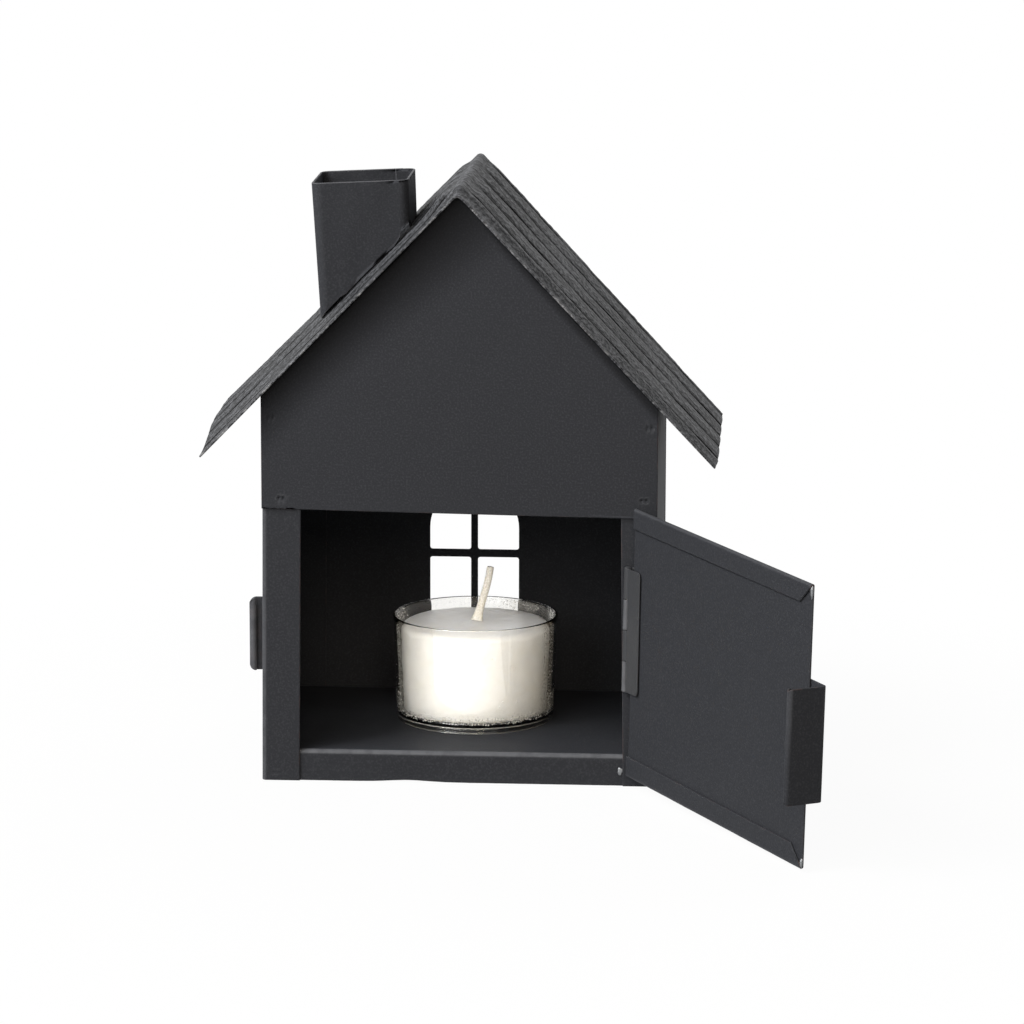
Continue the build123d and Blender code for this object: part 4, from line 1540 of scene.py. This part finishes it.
@dataclass
class Hinge:
    """Hinge: two leaves whose ends are rolled round a pin, in knuckles by turns."""

    finishes: Finishes
    frame: DoorFrame = field(default_factory=DoorFrame)
    sheet: float = 0.5  # thickness of a leaf in the frame
    thin: float = 0.3  # thickness of a leaf and its knuckles here
    barrel: float = 0.75  # outer radius of a knuckle
    roll: float = 320.0  # angle that a leaf rolls round the pin, in degrees
    reach: float = 5.2  # width of a leaf past the barrel
    clearance: float = 0.3  # distance from the barrel to the leaf's flat
    length: float = 28.0  # length of the hinge
    knuckles: int = 4  # number of knuckles
    gap: float = 0.15  # distance between knuckles
    corner: float = 1.0  # radius of the leaves' corners
    # How far the stile's knuckles, which the door's wear against, are worn and painted lighter as a highlight,
    # as a share.
    fold_rub_and_highlight: float = 0.9
    edge_wear: float = 0.3  # how far the cut edges are worn to rust, as a share
    pin_radius: float = 0.4  # radius of the pin
    head_radius: float = 0.75  # radius of its heads
    head_height: float = 0.35  # height of its heads

    def leaf(self, name: str, node: str, body: Body, along: Array, near: float, first: int, way: int) -> None:
        """Rolls one leaf: flat, then up to the barrel and round the pin.

        Cells of the roll are left out where the other leaf has its knuckles.

        Args:
            name: name of the piece.
            node: node that it replaces.
            body: body that it moves with.
            along: direction from the hinge line along the leaf.
            near: distance of the leaf's near face from the hinge line.
            first: first of its knuckles, from the bottom.
            way: which way the leaf rolls round the pin: 1 away from the side that near is on, or -1.
        """
        radius = self.barrel - self.thin / 2
        start = (self.barrel + self.clearance + self.reach, near + self.thin / 2)
        pen = Strip(start, 180.0, step=0.7, turn_step=18.0).run(self.reach)
        climb = np.linspace(0, 1, 7)[1:, None]
        rise = np.concatenate([climb, smooth(0.0, 1.0, climb)], axis=1)
        pen.parts.append(pen.end + (np.array([0.0, way * radius]) - pen.end) * rise)
        pen.turn(radius, self.roll * way)
        section, lengths = pen.points(), pen.lengths()
        knuckle = self.length / self.knuckles
        ends = [k * knuckle + side * self.gap / 2 for k in range(1, self.knuckles) for side in (-1, 1)]
        z = refined(spread([0.0, *ends, self.length], 0.8, 0.15), np.array(ends), 0.3, 0.15)
        middles = (z[:-1] + z[1:]) / 2
        which = np.floor(middles / knuckle).astype(int)
        within = np.abs(middles - which * knuckle - knuckle / 2) < (knuckle - self.gap) / 2 + 0.01
        own = ((which - first) % 2 == 0) & within
        rolled = (lengths[:-1] + lengths[1:]) / 2 > self.reach
        squeeze = 1 - 2 * rounded_cut(self.corner, lengths) / self.length
        heights = squeeze[:, None] * (z - self.length / 2)
        plane = np.stack([along, np.cross(self.frame.axis, along)])
        points = self.frame.pivot + (section @ plane)[:, None] + heights[..., None] * self.frame.axis
        shape = sheet(points, self.thin, kept=~(rolled[:, None] & ~own[None, :]))
        shape.marks["fold"] *= self.fold_rub_and_highlight * (body is Body.HOUSE)
        shape.marks["edge"] *= self.edge_wear
        shape.place(name, self.finishes.hinge, body, "hinge_steel", node)

    def pin(self) -> None:
        """Turns the pin, with a low domed head at each end, along the hinge line."""
        half = self.length / 2
        dome = np.linspace(0, math.pi / 2, 6)
        head = np.stack([self.head_radius * np.sin(dome), half + self.head_height * np.cos(dome)], axis=1)
        head[0, 0] = 0.0
        upper = np.concatenate([head, [[self.head_radius, half + 0.02], [self.pin_radius, half]]])
        profile = np.concatenate([upper, upper[::-1] * np.array([1, -1])])
        shape = lathe(profile[::-1], (0.0, 0.0), 24)
        tilt = np.array(Vector((0, 0, 1)).rotation_difference(Vector(self.frame.axis)).to_matrix())
        shape.points = self.frame.pivot + shape.points @ tilt.T
        shape.place("hinge_rod", self.finishes.hinge, Body.HOUSE, "hinge_steel", "hinge_pin")

    def build(self) -> None:
        """Builds both leaves and the pin."""
        up, (_, _, inward) = self.frame.axis, self.frame.axes
        stile = unit(np.cross(np.array([0.0, 1.0, 0.0]), up))
        near = float(box_of("hinge_frame_leaf")[1][1] - self.sheet - self.frame.pivot[1])
        self.leaf("hinge_leaf_stile", "hinge_frame_leaf", Body.HOUSE, stile, near, 0, 1)
        door = np.cross(up, inward)
        self.leaf("hinge_leaf_door", "hinge_door_leaf", Body.DOOR, door, 0.1 - self.sheet, 1, -1)
        self.pin()


def divided(start: Array, end: Array, step: float) -> Array:
    """Gives the points that divide a run, without its two ends, in steps no longer than the one given."""
    count = max(2, math.ceil(float(np.linalg.norm(end - start)) / step))
    return start + (end - start) * (np.arange(1, count) / count)[:, None]


def rounded_profile(corners: Sequence[tuple[float, float, float]], step: float) -> Array:
    """Rounds the corners of a line of straight runs, and divides the runs.

    Each corner becomes an arc that touches both its runs, at the radius times tan(half the turn) from it,
    or at 0.45 of the run after it where that is nearer.

    Args:
        corners: both coordinates and the radius of each corner, with radius 0 at the two ends.
        step: widest distance between points of a run.

    Returns:
        The points, as an array of pairs.
    """
    places = np.array(corners)[:, :2]
    parts = [places[:1]]
    for before, corner, after, (_, _, radius) in zip(places, places[1:], places[2:], corners[1:-1]):
        arrive, leave = unit(corner - before), unit(after - corner)
        turn = math.atan2(arrive[0] * leave[1] - arrive[1] * leave[0], float(arrive @ leave))
        cut = min(radius * math.tan(abs(turn) / 2), np.linalg.norm(after - corner) * 0.45)
        bend = cut / math.tan(abs(turn) / 2)
        start = corner - arrive * cut
        spoke = np.array([-arrive[1], arrive[0]]) * math.copysign(bend, turn)
        angles = turn * np.linspace(0, 1, 7)[:, None]
        turned = spoke * np.cos(angles) + np.array([-spoke[1], spoke[0]]) * np.sin(angles)
        parts += [divided(parts[-1][-1], start, step), start + spoke - turned]
    parts += [divided(parts[-1][-1], places[-1], step), places[-1:]]
    return np.concatenate(parts)


@dataclass
class Tealight:
    """Tealight: a clear moulded cup, the wax cast in it, a braided wick and specks of wax on the wall."""

    finishes: Finishes
    wall: float = 0.6  # thickness of the cup's wall
    floor: float = 0.7  # thickness of the cup's floor
    foot: float = 1.2  # height of the ring that the cup stands on
    foot_width: float = 1.4  # width of that ring
    bottom_radius: float = 18.0  # outer radius of the cup at its foot
    shoulder: float = 1.5  # radius of the wax's upper edge
    wax_gap: float = 0.9  # distance of the wax from the cup at the bottom
    wax_top_gap: float = 1.25  # the same at the top
    wax_below_rim: float = 2.0  # distance of the wax's top from the rim
    mound: tuple[float, float] = (0.7, 1.7)  # height and width of the wax's rise round the wick
    dip: tuple[float, float, float] = (0.22, 6.0, 4.0)  # depth, radius and width of the ring that it sinks in
    mottle: tuple[float, float] = (0.1, 0.03)  # heights of the slow and of the short waves of its top
    shrink: float = 0.12  # depth of the waves in its side
    wick_sunk: float = 1.5  # length of the wick's foot inside the wax
    wick_length: float = 13.4  # length of the wick above it
    wick_lean: float = 13.5  # how far the wick leans, in degrees
    strand: float = 1.15  # length of the wick in which its braid repeats
    film_gap: float = 0.06  # distance of the film from the cup, which keeps the two surfaces apart
    film_width: float = 0.03  # thickness of the film
    speck_count: int = 900  # number of specks
    speck_size: tuple[float, float] = (0.06, 0.2)  # smallest and largest radius of a speck
    speck_foot: float = 0.45  # share of the specks that lie near the floor
    speck_climb: float = 20.0  # how high the others climb

    @property
    def centre(self) -> tuple[float, float]:
        """x and y of the cup's axis."""
        low, high = box_of("tealight_cup")
        return float((low[0] + high[0]) / 2), float((low[1] + high[1]) / 2)

    @property
    def base(self) -> float:
        """Height that the cup stands on."""
        return float(box_of("tealight_cup")[0][2])

    @property
    def rim(self) -> float:
        """Height of the cup's rim."""
        return float(box_of("tealight_cup")[1][2])

    @property
    def inside(self) -> float:
        """Height of the inside of the cup's floor."""
        return self.base + self.foot + self.floor

    @property
    def top_radius(self) -> float:
        """Outer radius of the cup at its rim."""
        low, high = box_of("tealight_cup")
        return float(high[0] - low[0]) / 2

    @property
    def wax_top(self) -> float:
        """Height of the wax."""
        return self.rim - self.wax_below_rim

    def inner_radius(self, height: Array) -> Array:
        """Gives the radius of the inside of the cup at a height."""
        share = (height - self.base) / (self.rim - self.base)
        return self.bottom_radius + (self.top_radius - self.bottom_radius) * share - self.wall

    def cup(self) -> None:
        """Turns the cup: a slightly tapered wall with a rounded rim, a flat floor and a foot ring."""
        ring, under = self.bottom_radius - self.foot_width, self.base + self.foot
        corners = (
            (0.0, under, 0.0),
            (ring, under, 0.4),
            (ring, self.base, 0.25),
            (self.bottom_radius, self.base, 0.3),
            (self.top_radius, self.rim, 0.28),
            (self.top_radius - self.wall, self.rim, 0.28),
            (self.bottom_radius - self.wall, self.inside, 0.8),
            (0.0, self.inside, 0.0),
        )
        shape = lathe(rounded_profile(corners, step=1.2), self.centre, 160)
        # A painted warm glint at the rim's left and right ends, chosen by x alone.
        aside = np.abs(shape.points[:, 0] - self.centre[0]) / self.top_radius
        at_rim = smooth(self.rim - 0.6, self.rim - 0.1, shape.points[:, 2])
        shape.marks["edge"] = at_rim * smooth(0.8, 0.98, aside)
        shape.place("cup_clear", self.finishes.plastic, Body.TEALIGHT, "clear_cup", "tealight_cup")

    def wax(self) -> None:
        """Turns the wax, then makes its top uneven.

        The top rises by a small mound round the wick, sinks a little in a wide ring round that, and is
        mottled by slow waves. The side has shallow waves where it shrank from the cup.
        """
        low = self.inside + 0.05
        lower = self.bottom_radius - self.wall - self.wax_gap
        upper = self.top_radius - self.wall - self.wax_top_gap
        top = self.wax_top
        corners = ((0.0, low, 0.0), (lower, low, 0.7), (upper, top, self.shoulder), (0.0, top, 0.0))
        shape = lathe(rounded_profile(corners, step=0.5), self.centre, 180)
        x, y = shape.points[:, 0] - self.centre[0], shape.points[:, 1] - self.centre[1]
        radius = np.hypot(x, y)
        on_top = smooth(self.wax_top - 1.2, self.wax_top - 0.1, shape.points[:, 2])
        rise, width = self.mound
        sink, middle, reach = self.dip
        mound = rise * hump(0.0, width, radius) - sink * hump(middle, reach, radius)
        slow, short = self.mottle
        waves = slow * swell(x, y, 83, 13.0) + short * swell(x, y, 87, 3.5, 3)
        shape.points[:, 2] += on_top * (mound + waves - slow)
        side = smooth(lower - 1.2, lower, radius) * (1 - on_top)
        shrunk = side * self.shrink * swell(np.arctan2(y, x) * lower, shape.points[:, 2], 89, 11.0)
        shape.points[:, :2] -= np.stack([x, y], axis=1) / np.maximum(radius, 1e-6)[:, None] * shrunk[:, None]
        shape.place("wax_cast", self.finishes.wax, Body.TEALIGHT, "wax", "tealight_wax")

    def wick(self) -> None:
        """Braids the wick: a flat section that narrows upwards, with a herringbone of strands.

        The section is an ellipse whose radius is raised by waves that climb from the middle to either side.
        It is wide at its foot by the bell curves of the length, and rounded off at its tip.
        """
        share = np.linspace(0, 1, 150)
        lean, length = math.radians(self.wick_lean), self.wick_length + self.wick_sunk
        drift = smooth(0.0, 0.9, share) * 0.35 + share * 0.65
        path = np.array([*self.centre, self.wax_top - self.wick_sunk]) + length * np.stack(
            [math.sin(lean) * drift, 0.02 * share, math.cos(lean) * share], axis=1
        )
        around = 2 * np.pi * np.arange(40) / 40
        wide = 0.85 + 0.65 * hump(0.0, 3.2, share * length) - 0.08 * share
        deep = 0.55 + 0.2 * hump(0.0, 2.6, share * length)
        climb = 2 * np.pi * (share[:, None] * length / self.strand - np.abs(np.cos(around)) * 0.55)
        braid = 1 + 0.07 * np.abs(np.sin(climb)) - 0.06 * hump(0.0, 0.35, np.cos(around))
        braid *= np.sqrt(np.clip(1 - smooth(0.985, 1.0, share) ** 2 * 0.75, 0.05, 1))[:, None]
        section = np.stack([np.outer(wide, np.cos(around)), np.outer(deep, np.sin(around))], axis=2)
        shape = tube(path, section * braid[..., None], np.array([1.0, 0.0, 0.0]))
        shape.place("wick_braid", self.finishes.wick, Body.TEALIGHT, "wick", "tealight_wick")

    def film(self) -> None:
        """Lines the inside of the cup with the film that the wax left, from above its floor to below its rim.

        The film is thick on the left and right, along the foot and in a patch at the back right, and next to
        nothing elsewhere.
        """
        height = np.linspace(self.inside + 0.9, self.rim - 0.4, 24)[:, None]
        turn = np.linspace(0, 2 * np.pi, 161)[:-1]
        radius = self.inner_radius(height) - self.film_gap
        rings = []
        for part in (1.0, 1 - self.film_width / self.top_radius):
            x, y = (mid + radius * way * part for mid, way in zip(self.centre, (np.cos(turn), np.sin(turn))))
            rings.append(np.stack([x, y, np.broadcast_to(height, x.shape)], axis=2))
        rings = np.concatenate([rings[0], rings[1][::-1]])
        faces = [grid_quads(len(rings), len(turn), close_rows=True, close_columns=True)[:, ::-1]]
        sides = smooth(0.85, 0.96, np.abs(np.cos(turn)))
        foot = 0.7 * (1 - smooth(0.0, 1.2, height - height[0]))
        above = smooth(self.wax_top - 1.0, self.wax_top, height)
        patch = above * (0.8 * hump(0.95, 0.3, turn) + 0.05 * (np.sin(turn) > 0))
        frost = np.clip(np.maximum(np.maximum(sides, foot), patch), 0, 1)
        shape = Shape(rings.reshape(-1, 3), faces, {"frost": np.concatenate([frost, frost[::-1]]).ravel()})
        shape.place("cup_film", self.finishes.film, Body.TEALIGHT, "wax")

    def specks(self) -> None:
        """Scatters specks of wax on the inside of the cup, in the gap beside the wax and along its foot.

        Each speck is a six-sided bead, flattened against the wall. Almost half of them lie near the floor,
        and the rest climb the wall, fewer with height.
        """
        draw = np.random.default_rng(97)
        count = self.speck_count
        turn = draw.uniform(0, 2 * np.pi, count)
        at_foot = draw.random(count) < self.speck_foot
        low, high = draw.uniform(0.1, 0.9, count), self.speck_climb * draw.random(count) ** 1.3
        height = np.where(at_foot, low, high) + self.inside
        size = draw.uniform(*self.speck_size, count)
        stretch = draw.uniform(0.8, 1.6, (count, 1))
        radius = self.inner_radius(height) - size * 0.6
        cos, sin, none = np.cos(turn), np.sin(turn), np.zeros(count)
        middles = np.stack([self.centre[0] + radius * cos, self.centre[1] + radius * sin, height], axis=1)
        outward, sideways = np.stack([cos, sin, none], axis=1), np.stack([-sin, cos, none], axis=1)
        ring = np.arange(6)
        after = np.roll(ring, -1)
        belt = 0.8 * np.stack([np.cos(ring * np.pi / 3), np.sin(ring * np.pi / 3)], axis=1)
        belts = [np.column_stack([belt, np.full(len(belt), level)]) for level in (0.5, -0.5)]
        ball = np.concatenate([[[0, 0, 1.0]], *belts, [[0, 0, -1.0]]])[None]
        points = 0.6 * ball[..., :1] * outward[:, None] + ball[..., 1:2] * (sideways * stretch)[:, None]
        points = middles[:, None] + size[:, None, None] * (points + ball[..., 2:] * np.array([0.0, 0.0, 1.0]))
        parts = (
            fan(0, 1 + ring, 1 + after),
            np.stack([1 + ring, 7 + ring, 7 + after, 1 + after], axis=1),
            fan(13, 7 + after, 7 + ring),
        )
        starts = (np.arange(count) * 14)[:, None, None]
        faces = [(part + starts).reshape(-1, part.shape[1]) for part in parts]
        shape = Shape(points.reshape(-1, 3), faces)
        shape.place("wax_specks", self.finishes.wax, Body.TEALIGHT, "wax")

    def build(self) -> None:
        """Builds the tealight and dresses the tab inside its wax."""
        for part in (self.cup, self.wax, self.wick, self.film, self.specks):
            part()
        paint_node("wick_tab", self.finishes.tab)


def away(azimuth: float, elevation: float) -> Vector:
    """Gives (sin a cos e, -cos a cos e, sin e): the way to something round to the right by a and up by e."""
    turn, tilt = math.radians(azimuth), math.radians(elevation)
    return Vector((math.sin(turn) * math.cos(tilt), -math.cos(turn) * math.cos(tilt), math.sin(tilt)))


@dataclass(frozen=True)
class Softbox:
    """Square lamp that faces the house."""

    name: str  # name of the lamp
    azimuth: float  # where it hangs round the house, in degrees, as for the camera
    elevation: float  # how high it hangs, in degrees
    distance: float  # distance from the middle of the house, in metres
    size: float  # length of its side, in metres
    power: float  # power in watts
    tint: str = "#ffffff"  # colour of its light
    glossy: bool = True  # whether it shows in gloss

    def hang(self) -> None:
        """Hangs the lamp."""
        data = bpy.data.lights.new(self.name, "AREA")
        data.color = linear(self.tint)[:3]
        data.shape, data.size, data.energy = "SQUARE", self.size, self.power
        lamp = bpy.data.objects.new(self.name, data)
        way = away(self.azimuth, self.elevation)
        lamp.location = MIDDLE + way * self.distance
        lamp.rotation_euler = way.to_track_quat("Z", "Y").to_euler()
        lamp.visible_camera, lamp.visible_glossy = False, self.glossy
        bpy.context.scene.collection.objects.link(lamp)


@dataclass
class Studio:
    """Camera, lamps, floor and white surroundings."""

    elevation: float = 11.244  # how far the camera looks down, in degrees
    azimuth: float = 3.563  # how far the camera stands round to the right, in degrees
    roll: float = 0.127  # how far the camera is turned about its own line of sight, in degrees
    distance: float = 1004.94  # distance from the target, in millimetres
    # x and z of what the middle of the picture shows, in the plane y = 0.
    target: tuple[float, float] = (11.714, 62.131)
    focal_pixels: float = 4534.3  # focal length in pixels of the photograph
    picture_width: float = 1024.0  # width of the photograph in pixels
    sensor: float = 36.0  # width of the camera's sensor, in millimetres
    clip: tuple[float, float] = (0.05, 20.0)  # nearest and farthest that the camera sees, in metres
    world_level: float = 0.15  # strength of the surroundings as a light
    world_tint: str = "#fff5e4"  # colour of that light
    paper: str = "#b0b0b0"  # colour of the floor's own shading
    floor_shade: float = 0.05  # share of that shading near the house, which leaves a soft shadow
    shadow_reach: tuple[float, float] = (90.0, 220.0)  # distances from the house between which it fades out
    floor_half: float = 6.0  # half the width of the floor, in metres
    floor_drop: float = 0.0001  # how far the floor lies under the house, in metres
    # The lamps. The first lights the front, the second the left slope and the chimney, the third the inside,
    # and the last the right slope, without a reflection of its own.
    lamps: tuple[Softbox, ...] = (
        Softbox("key_softbox", azimuth=-34, elevation=28, distance=1.3, size=0.9, power=17.2),
        Softbox("high_softbox", azimuth=-62, elevation=45, distance=1.2, size=0.5, power=22.0),
        Softbox("fill_softbox", azimuth=8, elevation=25, distance=1.4, size=0.5, power=8.0, tint="#fff3e2"),
        Softbox("back_softbox", azimuth=148, elevation=25, distance=1.4, size=1.0, power=14, glossy=False),
    )

    def camera(self) -> None:
        """Places the camera, which looks back along the way to it, turned by its roll."""
        roll = math.radians(self.roll)
        back = away(self.azimuth, self.elevation)
        right = away(self.azimuth + 90, 0)
        up = back.cross(right)
        data = bpy.data.cameras.new("camera")
        data.sensor_width, data.sensor_fit = self.sensor, "HORIZONTAL"
        data.lens = self.focal_pixels / self.picture_width * self.sensor
        data.clip_start, data.clip_end = self.clip
        camera = bpy.data.objects.new("camera", data)
        turned_right = right * math.cos(roll) + up * math.sin(roll)
        turned_up = up * math.cos(roll) - right * math.sin(roll)
        place = (Vector((self.target[0], 0, self.target[1])) + back * self.distance) * MM
        turn = Matrix((turned_right, turned_up, back)).transposed()
        camera.matrix_world = Matrix.Translation(place) @ turn.to_4x4()
        bpy.context.scene.collection.objects.link(camera)
        bpy.context.scene.camera = camera

    def world(self) -> None:
        """Makes the surroundings white to the eye, in gloss and through glass, and dimmer as a light."""
        nodes = Nodes(bpy.data.worlds.new("studio"), "OutputWorld")
        seen = nodes.rays("Camera", "Transmission", "Glossy")
        colour = nodes.blend(seen, linear(self.world_tint), linear("#ffffff"))
        strength = nodes.ramp(seen, 0.0, 1.0, self.world_level, 1.0)
        bpy.context.scene.world = nodes.end(nodes.add("Background", Color=colour, Strength=strength))

    def floor(self) -> None:
        """Lays a floor that looks white like the surroundings, and keeps a soft shadow round the house.

        The share of the floor's own shading falls from near the house to the edge of its shadow.
        """
        mesh = bpy.data.meshes.new("studio_floor")
        half = self.floor_half
        corners = [(-half, -half, 0.0), (half, -half, 0.0), (half, half, 0.0), (-half, half, 0.0)]
        mesh.from_pydata(corners, [], [(0, 1, 2, 3)])
        nodes = Nodes.named("white_paper")
        place = nodes.add("TexCoord").outputs["Object"]
        distance = nodes.add("VectorMath", {"operation": "LENGTH"}, in0=place).outputs["Value"]
        near, far = (reach * MM for reach in self.shadow_reach)
        glow_share = nodes.ramp(distance, near, far, 1 - self.floor_shade, 1.0)
        share = nodes.maths("MULTIPLY", nodes.rays("Camera", "Transmission", "Glossy"), glow_share)
        paper = nodes.add("BsdfDiffuse", Color=linear(self.paper))
        glow = nodes.add("Emission", Color=linear("#ffffff"), Strength=1.0)
        mesh.materials.append(nodes.mix(share, paper, glow))
        floor = bpy.data.objects.new("studio_floor", mesh)
        floor.location = (0.0, 0.0, -self.floor_drop)
        bpy.context.scene.collection.objects.link(floor)

    def build(self) -> None:
        """Sets up the studio and the plain view transform."""
        bpy.context.scene.view_settings.view_transform = "Standard"
        self.camera()
        self.world()
        self.floor()
        for lamp in self.lamps:
            lamp.hang()


def main() -> None:
    """Builds the studio and every sub-assembly, in order."""
    logging.basicConfig(level=logging.INFO, format="%(name)s: %(message)s")
    Studio().build()
    finishes = Finishes.make()
    outline = Outline()
    roof = Roof(outline, finishes)
    Shell(outline, finishes).build()
    roof.build()
    Chimney(roof, finishes).build()
    Catch(outline, finishes).build()
    Door(outline, finishes).build()
    Hinge(finishes).build()
    Tealight(finishes).build()


if __name__ == "__main__":
    main()
